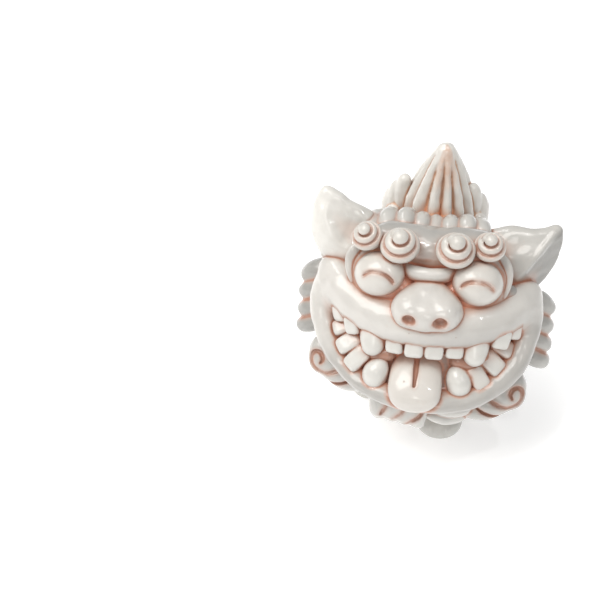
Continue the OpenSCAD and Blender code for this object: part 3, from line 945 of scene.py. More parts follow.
@dataclass
class Mouth:
    """The lips, the tongue, the teeth and the fangs."""

    lips_blend: float = 2.6

    def lips(self) -> list[Piece]:
        """Models the two lips, which run into each other at the cheeks.

        Returns:
            The upper lip and the lower lip.
        """
        low, high = (-27, -25, -13), (27, 11, 8)
        upper, lower = Clay(FACE, low, high), Clay(FACE, low, high)
        upper.roll([(-21, 4.6, -8, 2.6, 2.4), (-18.2, 1.8, -4.8, 4.4, 3.8), (-13.4, -1.4, -1.8, 4.6, 4.2),
                    (-7.2, -3, 0.8, 4.6, 4.1), (0, -3.4, 1.8, 4.5, 4.1), (7.2, -3, 0.8, 4.6, 4.1),
                    (13.4, -1.4, -1.8, 4.6, 4.2), (18, 1, -4.8, 4.2, 3.8), (20.6, 3.2, -8, 2.4, 2.4)],
                   hub=(0, -3, -24))
        lower.roll([(-20, 4.4, -8, 2, 2.4), (-21.9, -0.6, -6.8, 2.6, 3), (-21.4, -6, -5.4, 2.2, 2.8),
                    (-18.6, -11.6, -3.6, 1.9, 2.6), (-13.6, -16.2, -1.4, 1.9, 2.7), (-7, -18.8, 0.6, 2, 2.8),
                    (0.4, -19.5, 1.2, 2.1, 2.8), (7.6, -18.9, 0.6, 2.1, 2.8), (13.8, -16.2, -1.2, 2.1, 2.8),
                    (18.4, -11.6, -3.4, 2.3, 2.8), (20.4, -6, -5.2, 2.4, 2.9), (20.8, -1, -6.8, 2.5, 3),
                    (19.4, 3.2, -8, 2, 2.4)], hub=(0, -6, -24))
        inner = [(-20.0, -5.6, -5.6), (-18.0, -10.4, -3.8), (-13.0, -15.0, -1.8), (-6.8, -17.4, 0.0),
                 (0.4, -18.1, 0.5), (7.4, -17.4, 0.0), (13.0, -15.0, -1.6), (17.2, -10.6, -3.6),
                 (18.8, -5.6, -5.4)]
        lower.brush([(*k, 0.9, 0.9) for k in inner], wash=0.85)
        both = blended(upper.depth, lower.depth, self.lips_blend)
        bias = upper.depth - lower.depth
        upper.depth = np.maximum(both, bias)
        lower.depth = np.maximum(both + 0.02, -bias - 0.5)
        # Painted shade: the lips are painted darker downwards and towards the lion's left, the side away from the
        # key light.
        lower_side = Dimming(0.27, at=(0, -3, 0), way=(0.25, -0.97, 0), reach=6)
        return [Piece(name, clay, Finish.FACE, wobble=0.09, seed=5, pool=0, shade=0.97, dimming=lower_side)
                for name, clay in (("upper_lip", upper), ("lower_lip", lower))]

    def tongue(self) -> list[Piece]:
        """Models the tongue, which hangs over the lower lip.

        Returns:
            The tongue.
        """
        clay = Clay(FACE, (-9, -24, -8), (7, -5, 8))
        throat = (-1, -12, -30)
        clay.roll([(-1, -9, -4, 4.6, 1.6), (-1, -12, -1.4, 5, 2.2), (-1, -15.6, 1.8, 5.5, 2.6),
                   (-1, -18.2, 3.3, 5.3, 2.4), (-1, -19.6, 3.4, 4.2, 1.9)], hub=throat)
        clay.line([(-1.1, -7, -2.0), (-1.1, -10, -0.3), (-1.1, -12.6, 2.0), (-1.15, -15.6, 4.6)],
                  width=0.5, hub=throat)
        return [Piece("tongue", clay, Finish.TONGUE, wobble=0.06, seed=6, pool=1.0, pooled=0.9)]

    @staticmethod
    def tooth(clay: Clay, at: Point, size: Point, turn: float = 0.0, lean: float = 0.0,
              square: float = 3.8) -> None:
        """Adds one tooth, with its corners rubbed round.

        Args:
            clay: The row of teeth.
            at: Its centre.
            size: Its width, height and depth.
            turn: How far it faces to the side.
            lean: How far it leans.
            square: 2 for a ball; more for a blockier tooth.
        """
        broad = 0.53 if square < 5 else 0.57
        half = (broad * size[0], 0.54 * size[1], 0.53 * size[2])
        clay.ball(at, half, turn=(0, turn, lean), power=square, soft=0.1)

    def teeth(self) -> list[Piece]:
        """Models the two rows of teeth.

        Returns:
            The upper teeth and the lower teeth.
        """
        upper = Clay(FACE, (-20, -12, -9), (20, 0, 6))
        self.tooth(upper, (-5.7, -7.5, 1), (3.6, 4.2, 4.4), -12, square=4.8)
        self.tooth(upper, (-1.8, -7.9, 1.8), (3.75, 4.0, 4.4), -4, square=4.8)
        self.tooth(upper, (2.1, -7.9, 1.8), (3.75, 4.0, 4.4), 4, square=4.8)
        self.tooth(upper, (6, -7.5, 0.9), (3.6, 4.0, 4.4), 12, square=4.8)
        self.tooth(upper, (-14.6, -5.1, -1.5), (3.5, 4.2, 4.4), -24, 10, square=3.6)
        self.tooth(upper, (-17.4, -3.3, -3.4), (3.2, 3.8, 4.2), -34, 14, square=3.6)
        self.tooth(upper, (15.0, -5.0, -1.5), (3.6, 4.2, 4.4), 24, -9, square=4.8)
        self.tooth(upper, (17.5, -3.3, -3.4), (3.2, 3.8, 4.2), 34, -12, square=4.8)
        lower = Clay(FACE, (-23, -21, -12), (23, -3, 6))
        self.tooth(lower, (-13.1, -12.6, -1.5), (3.4, 5.4, 4.4), -20, -42, square=5)
        self.tooth(lower, (-15.2, -9.9, -2.7), (3.3, 5.2, 4.4), -28, -55, square=5)
        self.tooth(lower, (-16.7, -7.1, -4.2), (3, 4.6, 4.2), -34, -66, square=5)
        self.tooth(lower, (11.3, -13.9, -1.3), (3.4, 5.2, 4.4), 20, 36, square=5)
        self.tooth(lower, (13.8, -11.1, -2.6), (3.6, 5, 4.4), 28, 50, square=5)
        self.tooth(lower, (15.8, -8, -4.2), (3.4, 4.6, 4.2), 34, 64, square=5)
        return [Piece("upper_teeth", upper, Finish.TEETH, wobble=0.06, seed=7, pool=0.6),
                Piece("lower_teeth", lower, Finish.TEETH, wobble=0.06, seed=8, pool=0.55)]

    def fangs(self) -> list[Piece]:
        """Models the four fangs.

        Returns:
            The two upper fangs and the two lower fangs.
        """
        made = []
        for side in Side:
            x = side.value
            clay = Clay(FACE, (x * 10.6 - 4, -12.5, -5), (x * 10.6 + 4, -2, 4.5))
            clay.roll([(x * 10.3, -4.6, -0.8, 3, 2.8), (x * 10.3, -7, -0.1, 3, 2.8),
                       (x * 10.45, -8.9, 0.9, 2.3, 2.2)], hub=(x * 10.6, -8, -30))
            made.append(Piece(f"{side.word}_upper_fang", clay, Finish.TEETH, wobble=0.05, seed=9))
            at = 7.8 if side is Side.LEFT else -9.3
            clay = Clay(FACE, (at - 4.6, -20, -5), (at + 4.6, -9, 5.5))
            clay.roll([(at + x * 0.2, -15.7, 0.1, 2.6, 2.8), (at, -14.6, 0.3, 2.7, 2.8),
                       (at - x * 0.5, -13.4, 0.4, 2, 2.1)], hub=(at, -14, -30))
            made.append(Piece(f"{side.word}_lower_fang", clay, Finish.TEETH, wobble=0.05, seed=10,
                              pool=0.75, pooled=0.85))
        return made

    def pieces(self) -> list[Piece]:
        """All the pieces of the mouth."""
        return self.lips() + self.tongue() + self.teeth() + self.fangs()


@dataclass
class Features:
    """The nose, the bar across its bridge, the eyes and their rims."""

    eye: Point = (5.2, 4.6, 4.6)

    def nose(self) -> list[Piece]:
        """Models the nose and the bar above it.

        Returns:
            The nose and the bridge bar.
        """
        nose = Clay(FACE, (-9, -6, -5), (9, 9, 11))
        nose.ball((0, 2.2, 2), (5.4, 4.0, 4.9))
        for side in Side:
            nose.ball((side.value * 3.4, 0.2, 3.6), (3.9, 3.9, 4.8), soft=1.6)
        nose.ball((0, -0.4, 4.2), (4.6, 3.6, 4.6), soft=1.2)
        for side in Side:
            x = side.value * 3.2 - 0.3
            wide = 1.12 if side is Side.LEFT else 1.0
            nose.roll([(x, -2.7, 10.4, 1.5 * wide, 1.35 * wide), (x, -1.7, 8.6, 1.45 * wide, 1.3 * wide),
                       (x, -1.1, 7.4, 1.1, 1.0)], hub=(x, -8, -10), how=Join.CUT, soft=0.5, wash=1.0)
        bar = Clay(FACE, (-8, 3, -5), (8, 12, 6))
        bar.roll([(-5.7, 7.9, -0.5, 1.1, 1.7), (-3.6, 7.2, 1.1, 1.5, 2.3), (-0.4, 6.9, 1.8, 1.6, 2.5),
                  (2.8, 7.2, 1.1, 1.5, 2.3), (4.9, 7.9, -0.5, 1.1, 1.7)])
        return [Piece("nose", nose, Finish.FACE, wobble=0.08, seed=11, pool=0.55, shade=0.93),
                Piece("nose_bridge", bar, Finish.FACE, wobble=0.05, seed=12, pool=0.8, pooled=0.85)]

    def eyes(self) -> list[Piece]:
        """Models the eyes with their smiling slits, and the rims outside them.

        Returns:
            Two eyes and two rims.
        """
        made = []
        for side in Side:
            s = side.value
            x = s * EYE_X - EYES_OFF
            eye = Clay(FACE, (x - 7, 0, -5), (x + 7, 13, 8))
            eye.ball((x, 6.3, 1.2), self.eye, turn=(0, s * 14, -s * 8))
            lean = 0.03 if side is Side.LEFT else 0.16
            slit = []
            for a in range(-66, 67, 12):
                across = (3.7 if side is Side.LEFT else 3.4) * math.sin(math.radians(a))
                up = 4.5 + 2.9 * math.cos(math.radians(a)) - lean * across
                slit.append((x + across, up, 5.95 - 0.018 * abs(a)))
            eye.line(slit, width=0.38, hub=(x, 4, -40), wash=0.8)
            made.append(Piece(f"{side.word}_eye", eye, Finish.EYES, wobble=0.05, seed=13,
                              pool=1.15, pooled=1.0))
            rim = Clay(FACE, (s * 14 - 6, -2, -7), (s * 14 + 6, 14, 4))
            low, out = (0.0, -0.4) if side is Side.LEFT else (0.8, 0.0)
            rows = [(13.9, 11.4, -2.2, 0.75, 1.6), (15, 9.6, -2, 0.85, 2.2), (15.4, 7 + 0.4 * low, -2, 0.85, 2.3),
                    (15.1, 4.6 + low, -1.8, 0.8, 2.1), (14.5, 2.8 + low, -1.6, 0.7, 1.6)]
            rim.roll([(s * (r[0] + out) - EYES_OFF, *r[1:]) for r in rows])
            made.append(Piece(f"{side.word}_eye_rim", rim, Finish.FACE, wobble=0.05, seed=14,
                              pool=0.8, shade=0.9))
        return made

    def pieces(self) -> list[Piece]:
        """All the features."""
        return self.nose() + self.eyes()


@dataclass
class BrowCurls:
    """Four strands of clay, each coiled up into a cone with a bead on top."""

    inner: float = 4.4
    outer: float = 3.6
    turns: float = 2.1

    def curl(self, side: Side, is_outer: bool) -> Piece:
        """Models one curl.

        Args:
            side: The side it is on.
            is_outer: Whether it is the outer one of that side.

        Returns:
            The curl.
        """
        s = side.value
        at = (s * 12.2 - 0.9, 13.2, 0.6) if is_outer else (s * 5.5 - 0.9, 12.0, 2.2)
        tilt = turned((-40, s * (8 if is_outer else 2), 11 if is_outer else 0))
        radius, height = (self.outer, 4.4) if is_outer else (self.inner, 5.4)

        def spot(x: float, y: float, z: float) -> Point:
            """A place on the curl, in face coordinates."""
            return tuple(np.array(at) + tilt @ np.array([x, y, z]))

        reach = radius + 3
        clay = Clay(FACE, tuple(a - reach for a in at), tuple(a + reach + 2 for a in at))
        clay.ball(spot(0, 0, 0.2 * height), (radius * 0.86, radius * 0.86, height * 0.42), turn=(-40, 0, 0))

        def strand(t: float) -> tuple[float, float, float]:
            """The coil's distance from the axis, height and thickness at a share of its length."""
            return radius * (0.69 - 0.37 * t), height * (0.13 + 0.56 * t), radius * (0.31 - 0.05 * t)

        coil, seam = [], []
        for i in range(57):
            t = i / 56
            q, z, thick = strand(t)
            angle = math.radians(360 * self.turns * t + 100)
            coil.append((*spot(q * math.cos(angle), q * math.sin(angle), z), thick, thick))
            beyond = t + 1 / self.turns
            q2, z2, _ = strand(min(beyond, 1.0)) if beyond <= 1 else (radius * 0.1, height * 0.80, 0)
            gap = math.hypot(q2 - q, z2 - z)
            lift = math.sqrt(max(thick**2 - gap**2 / 4, 0.01))
            out, up = (z2 - z) / gap, (q - q2) / gap
            if t < 0.93:
                edge = (q + q2) / 2 + out * lift
                seam.append(spot(edge * math.cos(angle), edge * math.sin(angle), (z + z2) / 2 + up * lift))
        clay.roll(coil, hub=spot(0, 0, -40), step=0.5)
        clay.ball(spot(0, 0, height * 0.78), (radius * 0.39,) * 3)
        clay.line(seam, width=0.26, hub=spot(0, 0, -2), wash=1.0)
        clay.fade(spot(0, 0.1 * radius, height * 0.4), (0, 1, 0), 1.4 * radius, 0.3)
        where = "outer" if is_outer else "inner"
        return Piece(f"{side.word}_{where}_brow_curl", clay, Finish.CURLS, wobble=0.05, seed=15, pool=0.6)

    def pieces(self) -> list[Piece]:
        """The four curls."""
        return [self.curl(side, is_outer) for side in Side for is_outer in (False, True)]


@dataclass
class Ears:
    """Two pointed, cupped ears."""

    hollow: float = 1.0

    def pieces(self) -> list[Piece]:
        """Models the ears.

        Returns:
            The left ear and the right ear.
        """
        left = Clay(FACE, (5, 0, -16), (30, 22, 2))
        behind = (16, 8, -60)
        left.roll([(11.5, 9.4, -10.5, 6, 3.4), (16, 10.4, -9, 6.6, 3.4), (20, 11.8, -8.2, 5.6, 2.9),
                   (23, 14.4, -8, 3.5, 2.1), (24.6, 17, -8, 1.3, 1.1)], hub=behind)
        left.roll([(12.6, 13.4, -4.9, 2.6, 0.8), (16.4, 14.6, -4.4, 3.4, 2.0), (19.8, 15.8, -4.3, 2.8, 1.6),
                   (22.4, 17.2, -5.2, 1.2, 0.9)], hub=behind, how=Join.CUT, soft=self.hollow)
        left.roll([(12.8, 7.2, -10.4, 4, 3), (17.8, 6.7, -9.8, 4.4, 3), (21.2, 9.0, -9.2, 4.2, 2.8),
                   (23.4, 13.4, -8.6, 2.7, 2)], hub=behind, soft=0.8)
        facet = (21.2, 11.8, -5.5)
        left.shave(facet, (0.60, -0.40, 0.69), soft=0.25)
        left.roll([(17.4, 6.6, -6.3, 0.5, 0.5), (19.2, 9, -5.9, 0.6, 0.6), (21.0, 11.8, -5.6, 0.6, 0.6),
                   (22.8, 14.6, -6, 0.6, 0.6), (24.2, 16.6, -6.9, 0.5, 0.5)], hub=behind, soft=0.5)
        right = Clay(FACE, (-30, 0, -16), (-5, 25, 2))
        behind = (-16, 8, -60)
        right.roll([(-12, 9.6, -10.5, 6.2, 3.4), (-16.6, 10.8, -9, 6.8, 3.4), (-20.6, 13.2, -8.2, 5.4, 2.9),
                    (-23, 17, -8, 3.3, 2.1), (-23, 20.4, -8, 1.4, 1.2)], hub=behind)
        right.roll([(-12.4, 12.2, -5.2, 3.6, 1.6), (-16.2, 13.4, -4.6, 4.4, 2.6), (-19.4, 15.8, -4.4, 3.6, 2.2),
                    (-21.6, 19.0, -5.2, 1.5, 1.1)], hub=behind, how=Join.CUT, soft=0.6)
        right.roll([(-23.2, 20.3, -8, 1.4, 1.4), (-21, 19.5, -7.9, 1.5, 1.5), (-18.3, 17.8, -8, 1.5, 1.5),
                    (-14.8, 16.1, -8.6, 1.6, 1.6)], hub=behind, soft=0.9)
        right.roll([(-23.7, 17, -8.6, 1.8, 1.8), (-24, 14, -8.8, 2, 2), (-23, 10.3, -9.4, 2.1, 2.2),
                    (-21.2, 6.8, -10.2, 2.2, 2.4)], hub=behind, soft=0.9)
        # Painted shade: the left ear, on the side away from the key light, is painted darker, most on the facet
        # below its ridge, and the right ear darker inside its cup.
        below = Dimming(0.24, at=facet, way=(0.832, -0.555, 0), reach=0.9)
        inside = Dimming(0.16, at=(-20.5, 14, 0), way=(0.87, 0.5, 0), reach=6)
        return [Piece("left_ear", left, Finish.EARS, wobble=0.1, seed=16, shade=0.70, dimming=below),
                Piece("right_ear", right, Finish.EARS, wobble=0.1, seed=17, dimming=inside)]


@dataclass
class Mane:
    """The locks of the crown, nape, cheeks, chin, beard and chest."""

    soft: float = 0.25
    crown_knobs: tuple[Point, ...] = (
        (-13.4, -0.3, 1.6), (-10.2, 0.5, 1.9), (-6.5, 0.9, 1.95), (-3.1, 0.2, 1.7),
        (-0.1, -0.7, 1.6), (3, 0.1, 1.75), (6.5, 0.7, 1.8), (9.8, -0.1, 1.75))

    def crown(self) -> list[Piece]:
        """Models the knobbed locks along the crown.

        Returns:
            The crown's row of locks.
        """
        clay = Clay(FACE, (-16, 8, -24), (16, 21, -3))
        for x, up, r in self.crown_knobs:
            clay.roll([(x * 1.02, 12.5 + up, -6.6, 0.7 * r, 0.7 * r), (x, 14.6 + up, -7.8, r, 0.97 * r),
                       (x * 0.97, 15.6 + up, -10.4, r, 1.15 * r), (x * 0.9, 15.2, -14.6, r, 1.8),
                       (x * 0.86, 12.4, -18.4, 0.7 * r, 1.1)], soft=0.5)
        return [Piece("crown_locks", clay, Finish.MANE, wobble=0.08, seed=18, wash=0.55, shade=0.9)]

    def nape(self, side: Side) -> list[Piece]:
        """Models the locks down one side of the nape.

        Args:
            side: The side.

        Returns:
            That side's locks.
        """
        low, high = between(side.value * 2, side.value * 27)
        clay = Clay(FACE, (low, -18, -34), (high, 20, -8))
        for i in range(3):
            a = math.radians(18 + 29 * i)
            clay.roll(mirrored([
                (3 + 16 * math.sin(a), 13 * math.cos(a) + 1, -15 - 8 * math.cos(a), 2.2, 1.8),
                (3.6 + 16 * math.sin(a), 13 * math.cos(a) - 3.4, -17.4 - 8 * math.cos(a), 3.1, 2.5),
                (4 + 15 * math.sin(a), 13 * math.cos(a) - 8.4, -18.4 - 7 * math.cos(a), 3.0, 2.4),
                (4 + 13 * math.sin(a), 13 * math.cos(a) - 12, -18 - 6 * math.cos(a), 1.6, 1.5)], side),
                soft=self.soft)
        # Painted shade: the nape locks are painted darker to go with the shaded cheek locks.
        return [Piece(f"{side.word}_nape_locks", clay, Finish.MANE, wobble=0.08, seed=19, shade=0.85)]

    def cheek(self, side: Side) -> list[Piece]:
        """Models the locks beside one cheek.

        Args:
            side: The side.

        Returns:
            That side's locks.
        """
        s = side.value
        low, high = between(s * 14, s * 31)
        clay = Clay(FACE, (low, -17, -18), (high, 9, -6))
        out = 0.0 if side is Side.LEFT else 1.3
        for i in range(4):
            y = 1.4 - 3.6 * i if side is Side.LEFT else 3.6 - 3.5 * i
            n = -12 - 0.5 * abs(i - 1.5)
            clay.roll([(s * 16.4, y + 0.8, n + 0.8, 1.8, 1.8), (s * (20.4 + out), y, n - 0.4, 2.3, 2.8),
                       (s * (23.4 + out), y - 1 - 0.3 * i, n - 1.1, 2.3, 2.8),
                       (s * (24.9 + out), y - 1.9 - 0.3 * i, n - 1.6, 1.9, 2.2)],
                      hub=(s * 22, y, -60), soft=0.8)
            if i < 3:
                clay.line([(s * (21 + out), y - 1.8 - 0.1 * i, n + 2.0),
                           (s * (23.4 + out), y - 2.8 - 0.3 * i, n + 1.1),
                           (s * (25.6 + out), y - 3.9 - 0.3 * i, n - 0.6),
                           (s * (26.6 + out), y - 4.4 - 0.3 * i, n - 2.2)],
                          width=0.36, hub=(s * 21, y - 2, n - 5), wash=0.9)
        # Painted shade: the cheek locks are painted darker where they lie in shadow, the right side's most.
        return [Piece(f"{side.word}_cheek_mane", clay, Finish.MANE, wobble=0.08, seed=20,
                      shade=0.76 if side is Side.LEFT else 0.60)]

    def chin(self, side: Side) -> list[Piece]:
        """Models the coiled curl at one side of the chin.

        Args:
            side: The side.

        Returns:
            That side's curl.
        """
        s = side.value
        cx, cy, cz = (19.8, -18.6, -8.2) if side is Side.LEFT else (-21.9, -15.2, -8.2)
        low, high = between(cx - s * 18, cx + s * 5)
        clay = Clay(FACE, (low, cy - 9, cz - 6), (high, cy + 7, cz + 5))
        far = (cx, cy, cz - 400)

        def laid(rows: Keys) -> Keys:
            """Rows given about the curl's bead, in face coordinates."""
            return [(cx + s * r[0], cy + r[1], cz + r[2], *r[3:]) for r in rows]

        clay.ball((cx - s * 1.3, cy + 0.8, cz - 0.2), (3.8, 4.4, 3.1), power=2.4)
        clay.roll(laid([(-11.8, -0.4, -1.8, 2, 2.4), (-7.8, -2.2, -0.8, 2.5, 2.9),
                        (-3.8, -2.8, -0.3, 2.5, 2.9), (-0.8, -1.4, -0.8, 1.8, 2.2)]), hub=far, soft=0.7)
        clay.roll(laid([(-14.8, -2.4, -2.4, 1.8, 2.2), (-10.3, -4.2, -1.5, 2.3, 2.8),
                        (-5.8, -4.5, -1, 2.3, 2.8), (-2, -3.2, -1.2, 1.4, 1.8)]), hub=far, soft=0.7)
        clay.line(laid([(-0.4, -0.6, 2.7), (-0.9, 0.5, 2.8), (-0.3, 1.7, 2.6), (0.8, 1.9, 2.2),
                        (1.6, 0.9, 1.9), (1.5, -0.8, 1.9), (0.2, -2.2, 2.2), (-1.8, -2.8, 2.5),
                        (-4.2, -1.9, 2.6), (-6.4, -0.2, 2)]), width=0.42, hub=far)
        clay.line(laid([(-8.4, -2.8, 1.4), (-6.4, -4.2, 1.5), (-4.2, -5.0, 1.1), (-2.2, -5.0, 0.2)]),
                  width=0.42, hub=far)
        return [Piece(f"{side.word}_chin_curl", clay, Finish.MANE, wobble=0.06, seed=21, shade=0.86)]

    def beard(self) -> list[Piece]:
        """Models the beard and the lock of chest hair beside it.

        Returns:
            The beard and the chest lock.
        """
        beard = Clay(FACE, (-14, -30, -14), (8, -13, 0))
        for i in range(4):
            x = 1.4 - 2.8 * i
            beard.roll([(x + 1, -16.6, -8 - 0.5 * i, 1.8, 2.4),
                        (x - 1, -21.4 + 0.3 * i, -4.8 - 0.5 * i, 2.2, 2.9),
                        (x - 1.4, -25 + 0.25 * i, -5 - 0.4 * i, 1.9, 2.4),
                        (x - 1.1, -26.2 + 0.45 * i, -6 - 0.4 * i, 1.3, 1.6)], hub=(x, -18, -60), soft=1.3)
        for keys in ([(1.8, -22.4, -2.0), (0.2, -24.4, -2.2), (-2.2, -26.6, -3.4)],
                     [(-2.6, -22.4, -2.2), (-3.6, -24.2, -2.4), (-5.2, -26.0, -3.6)],
                     [(-6.4, -21.6, -2.8), (-7.0, -23.4, -3.0), (-7.8, -25.2, -4.0)]):
            beard.line(keys, width=0.42, hub=(-3, -22, -60))
        lock = Clay(FACE, (-5, -29, -16), (17, -15, -2))
        for i in range(2):
            lock.roll([(1 - i, -20.4 - 2.2 * i, -8.4 - 1.6 * i, 1.7, 2.4),
                       (5 - i, -22.6 - 2.2 * i, -7.2 - 1.6 * i, 2.1, 2.8),
                       (9 - i, -22.6 - 2.2 * i, -7.8 - 1.6 * i, 2, 2.6),
                       (11.6 - i, -21.2 - 2.2 * i, -9.2 - 1.6 * i, 1.2, 1.6)],
                      hub=(5, -20, -60), soft=self.soft)
        return [Piece("beard", beard, Finish.MANE, wobble=0.06, seed=22),
                Piece("chest_lock", lock, Finish.MANE, wobble=0.06, seed=23)]

    def pieces(self) -> list[Piece]:
        """All the locks."""
        made = self.crown() + self.beard()
        for side in Side:
            made += self.nape(side) + self.cheek(side) + self.chin(side)
        return made


@dataclass
class Legs:
    """Two front legs and two folded hind legs, with toed paws."""

    face_x: float = 0.75
    set_back: float = 3.8

    @staticmethod
    def paw(clay: Clay, at: Point, radii: Point) -> None:
        """Adds a paw with two lines between its toes.

        Args:
            clay: The leg.
            at: The paw's centre.
            radii: The paw's half sizes.
        """
        clay.ball(at, radii, soft=1.2)
        for x in (-0.36, 0.36):
            clay.roll([(at[0] + x * radii[0], at[1] - radii[1] * 1.02, 0.2, 0.45, 0.45),
                       (at[0] + x * radii[0], at[1] - radii[1] * 0.86, at[2] + radii[2] * 0.6, 0.45, 0.45),
                       (at[0] + x * radii[0], at[1] - radii[1] * 0.45, at[2] + radii[2] * 0.98, 0.3, 0.3)],
                      hub=(at[0], at[1] + 5, -9), how=Join.CUT, soft=0.4)

    def pieces(self) -> list[Piece]:
        """Models the legs.

        Returns:
            Four legs.
        """
        made = []
        for side in Side:
            s = side.value
            back = 0.0 if side is Side.LEFT else self.set_back
            front = Clay(TABLE, (s * 6 - 7, -13, -1), (s * 6 + 7, 7, 22))
            front.roll([(s * 6.4, -3.4 + back, 16, 4.2, 4.2), (s * 5.9 + 0.4, -3.9 + back, 9, 4.0, 4.0),
                        (s * 5.3 + self.face_x, -4.4 + back, 3, 3.8, 3.8)], hub=(0, 20, 9))
            self.paw(front, (s * 5.1 + self.face_x - 0.4, -6 + back, 1.4), (5.3, 5.3, 3.4))
            front.above_table()
            made.append(Piece(f"{side.word}_front_leg", front, Finish.LEGS, wobble=0.08, seed=24))
            low, high = between(s * 3, s * 19)
            hind = Clay(TABLE, (low, -4, -1), (high, 25, 20))
            hind.ball((s * 10.4, 13.4, 8.2), (5.6, 8.2, 8.4))
            hind.ball((s * 11.2, 9, 4), (5, 8, 5), soft=2.5)
            self.paw(hind, (s * 11.6, 4, 1.2), (4.2, 5.4, 3))
            hind.above_table()
            made.append(Piece(f"{side.word}_hind_leg", hind, Finish.LEGS, wobble=0.08, seed=25))
        return made


@dataclass
class Tail:
    """The upright tail: a flame with ribs that close at its tip, and small flames beside it."""

    radius: float = 7.8
    tip: float = 60.5
    ribs: int = 12
    face_x: float = 0.75
    left_flames: tuple[Point, ...] = ((8.3, 18.2, 50.2, 1.7), (10, 18.8, 47.2, 1.7), (9.8, 17, 43.5, 1.9))
    right_flames: tuple[Point, ...] = ((7.7, 18.2, 51, 1.6), (9.3, 18.7, 48.8, 1.5), (10.4, 19.2, 46.4, 1.5),
                                       (9.8, 16.2, 43.8, 1.7))

    def flame(self) -> list[Piece]:
        """Models the ribbed flame.

        Returns:
            The tail.
        """
        clay = Clay(TABLE, (-10, 8, 6), (11, 27, 62))
        x, y, z = clay.offsets(clay.whole, np.zeros(3))
        heights = [4, 8, 24, 33, 39.5, 45, 49, 52.6, 55.6, self.tip - 2.4, self.tip - 0.9, self.tip - 0.1]
        sideways = [0, 0, 0.3, 0.4, 0.2, 0.1, 0.1, 0.2, 0.3, 0.4, 0.5, 0.5]
        middle_x = np.interp(z, heights, sideways) + self.face_x
        middle_y = np.interp(z, heights, [19.2, 19.2, 18, 17.7, 17.5, 17.6, 17.6, 17.7, 17.9, 18, 18, 18])
        shares = [0.56, 0.6, 0.73, 0.95, 1.01, 0.95, 0.83, 0.65, 0.47, 0.30, 0.18, 0.02]
        profile = spline([(h, 0, 0, r) for h, r in zip(heights, shares)], 0.4)
        around = self.radius * np.interp(z, profile[:, 0], profile[:, 3], right=-0.6)
        east, north = x - middle_x, y - middle_y
        angle = np.arctan2(north, east)
        sway = 0.09 * np.sin(2 * angle + 1.0) + 0.06 * np.sin(3 * angle + 4.0)
        wave = np.abs(np.sin(0.5 * self.ribs * (angle + 0.6 * sway)))
        across = 1 - (2 / math.pi) * np.arcsin(wave)
        lobes = 0.5 * np.sqrt(1 - 0.98 * across**2) + 0.5 * (1 - across**1.6)
        ends = self.tip - 0.8 - 3.0 * (1 + np.sin(6 * angle + 2.4)) / 2
        carved = 0.36 * np.clip((ends - z) / 3, 0, 1) * np.clip(0.8 + (ends - z) / 30, 0.3, 1)
        depth = np.sqrt(east**2 + north**2) - around * (1.04 - carved * (1 - lobes))
        front = np.cos(angle + math.radians(80))
        stain = 0.26 + 0.74 * np.clip(front, 0, 1) ** 5
        grooves = np.clip((0.55 - wave) / 0.35, 0, 1) * np.clip((ends + 1 - z) / 5, 0, 1) * stain
        stripe = 0.55 * np.clip((front - 0.75) / 0.2, 0, 1) * np.clip((z - 51) / 4, 0, 1)
        clay.paint = np.maximum(grooves, stripe).astype(np.float32)
        clay.depth = np.maximum(0.86 * depth, 5.0 - z).astype(np.float32)
        return [Piece("tail", clay, Finish.TAIL, wobble=0.1, seed=26)]

    def flames(self, side: Side) -> list[Piece]:
        """Models the small flames on one side of the tail.

        Args:
            side: The side.

        Returns:
            That side's flames.
        """
        s = side.value
        low, high = between(s * 2, s * 14)
        clay = Clay(TABLE, (low, 11, 24), (high, 24, 53))
        places = self.left_flames if side is Side.LEFT else self.right_flames
        for x, y, z, r in places:
            clay.roll([(s * (x - 1.8), y, z - 13, r, r), (s * (x - 0.5), y, z - 9, 1.2 * r, 1.2 * r),
                       (s * (x - 0.2), y, z - 4.5, 1.15 * r, 1.15 * r),
                       (s * (x - 0.5), y, z - 2, 0.95 * r, 0.95 * r),
                       (s * (x - 0.7), y, z - 1.3, 0.8 * r, 0.8 * r)], hub=(0, -400, 40), soft=0.15)
        return [Piece(f"{side.word}_tail_flames", clay, Finish.TAIL, wobble=0.08, seed=27)]

    def pieces(self) -> list[Piece]:
        """The tail and its small flames."""
        made = self.flame()
        for side in Side:
            made += self.flames(side)
        return made


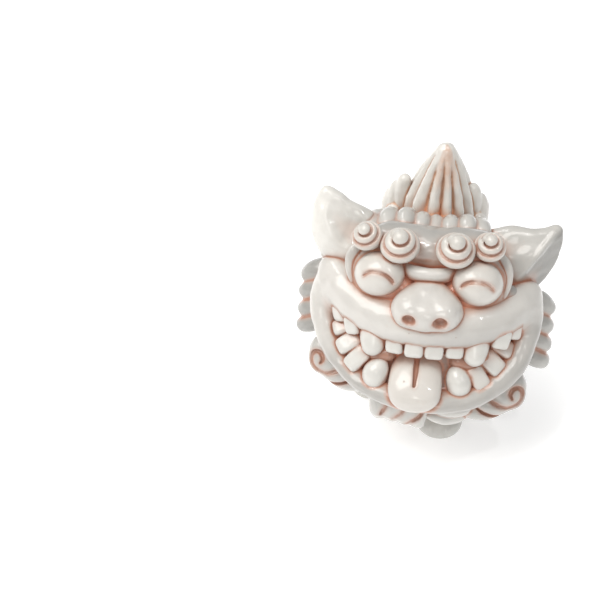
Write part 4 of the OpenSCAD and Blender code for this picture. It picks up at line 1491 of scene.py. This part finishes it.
@dataclass
class Studio:
    """The floor, the lights and the camera.

    The camera's target and distance are in millimetres. Half the floor's side, and the place that every light
    faces, are in metres.
    """

    target: Point = (-25.15, -13.8, 41.1)
    distance: float = 265.0
    azimuth: float = 8.5
    elevation: float = 43.0
    lens: float = 78.0
    floor_half: float = 6.0
    lit: Point = (0, -0.005, 0.035)

    def floor(self) -> None:
        """Lays a plain pale floor."""
        half = self.floor_half
        corners = [(-half, -half, 0), (half, -half, 0), (half, half, 0), (-half, half, 0)]
        mesh = bpy.data.meshes.new("floor")
        mesh.from_pydata(corners, [], [(0, 1, 2, 3)])
        paper = bpy.data.materials.new("pale_paper")
        paper.use_nodes = True
        shader = paper.node_tree.nodes["Principled BSDF"]
        shader.inputs["Base Color"].default_value = (0.93, 0.93, 0.93, 1)
        shader.inputs["Roughness"].default_value = 0.8
        shader.inputs["Emission Color"].default_value = (1, 1, 1, 1)
        shader.inputs["Emission Strength"].default_value = 0.36
        mesh.materials.append(paper)
        made = bpy.data.objects.new("floor", mesh)
        bpy.context.scene.collection.objects.link(made)

    def light(self, name: str, at: Point, size: Point, power: float, warmth: Point = (1, 1, 1)) -> None:
        """Hangs one soft light that faces the statue.

        Args:
            name: Its name.
            at: Its place, in metres.
            size: Its width and height, in metres.
            power: Its power, in watts.
            warmth: Its colour.
        """
        lamp = bpy.data.lights.new(name, "AREA")
        lamp.shape = "RECTANGLE"
        lamp.size, lamp.size_y = size
        lamp.energy = power
        lamp.color = warmth
        made = bpy.data.objects.new(name, lamp)
        made.location = at
        made.rotation_euler = (Vector(self.lit) - Vector(at)).to_track_quat("-Z", "Y").to_euler()
        bpy.context.scene.collection.objects.link(made)

    def build(self) -> None:
        """Sets up the floor, the lights, the background and the camera."""
        self.floor()
        self.light("key", (-0.30, -0.12, 0.62), (0.50, 0.50), 3.3, (1.0, 0.975, 0.94))
        self.light("spot", (-0.17, -0.20, 0.68), (0.02, 0.02), 0.30)
        self.light("front", (0.02, -0.50, 0.42), (0.16, 0.16), 0.30, (1.0, 0.97, 0.93))
        self.light("window", (0.36, -0.24, 0.56), (0.015, 0.14), 0.34)
        self.light("lamp", (0.16, -0.14, 0.72), (0.022, 0.022), 0.34)
        self.light("back", (-0.30, 0.30, 0.45), (0.10, 0.20), 0.30)
        world = bpy.data.worlds.new("studio")
        world.use_nodes = True
        back = world.node_tree.nodes["Background"]
        back.inputs["Color"].default_value = (0.97, 0.985, 1, 1)
        back.inputs["Strength"].default_value = 0.40
        scene = bpy.context.scene
        scene.world = world
        scene.view_settings.view_transform = "Standard"
        lens = bpy.data.cameras.new("camera")
        lens.lens = self.lens
        lens.sensor_width = 36.0
        lens.clip_start = 0.01
        camera = bpy.data.objects.new("camera", lens)
        az, el = math.radians(self.azimuth), math.radians(self.elevation)
        back_way = Vector((math.sin(az) * math.cos(el), -math.cos(az) * math.cos(el), math.sin(el)))
        camera.location = (Vector(self.target) + self.distance * back_way) * MM
        camera.rotation_euler = back_way.to_track_quat("Z", "Y").to_euler()
        scene.collection.objects.link(camera)
        scene.camera = camera
        LOG.info("studio built")


def main() -> None:
    """Builds every sub-assembly in order, fires the pieces and sets up the studio."""
    logging.basicConfig(level=logging.INFO, format="%(message)s")
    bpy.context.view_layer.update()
    kiln = Kiln()
    for part in (Torso(), Skull(), Mouth(), Features(), BrowCurls(), Ears(), Mane(), Legs(), Tail()):
        kiln.load(part.pieces())
    kiln.fire_all()
    Studio().build()


if __name__ == "__main__":
    main()
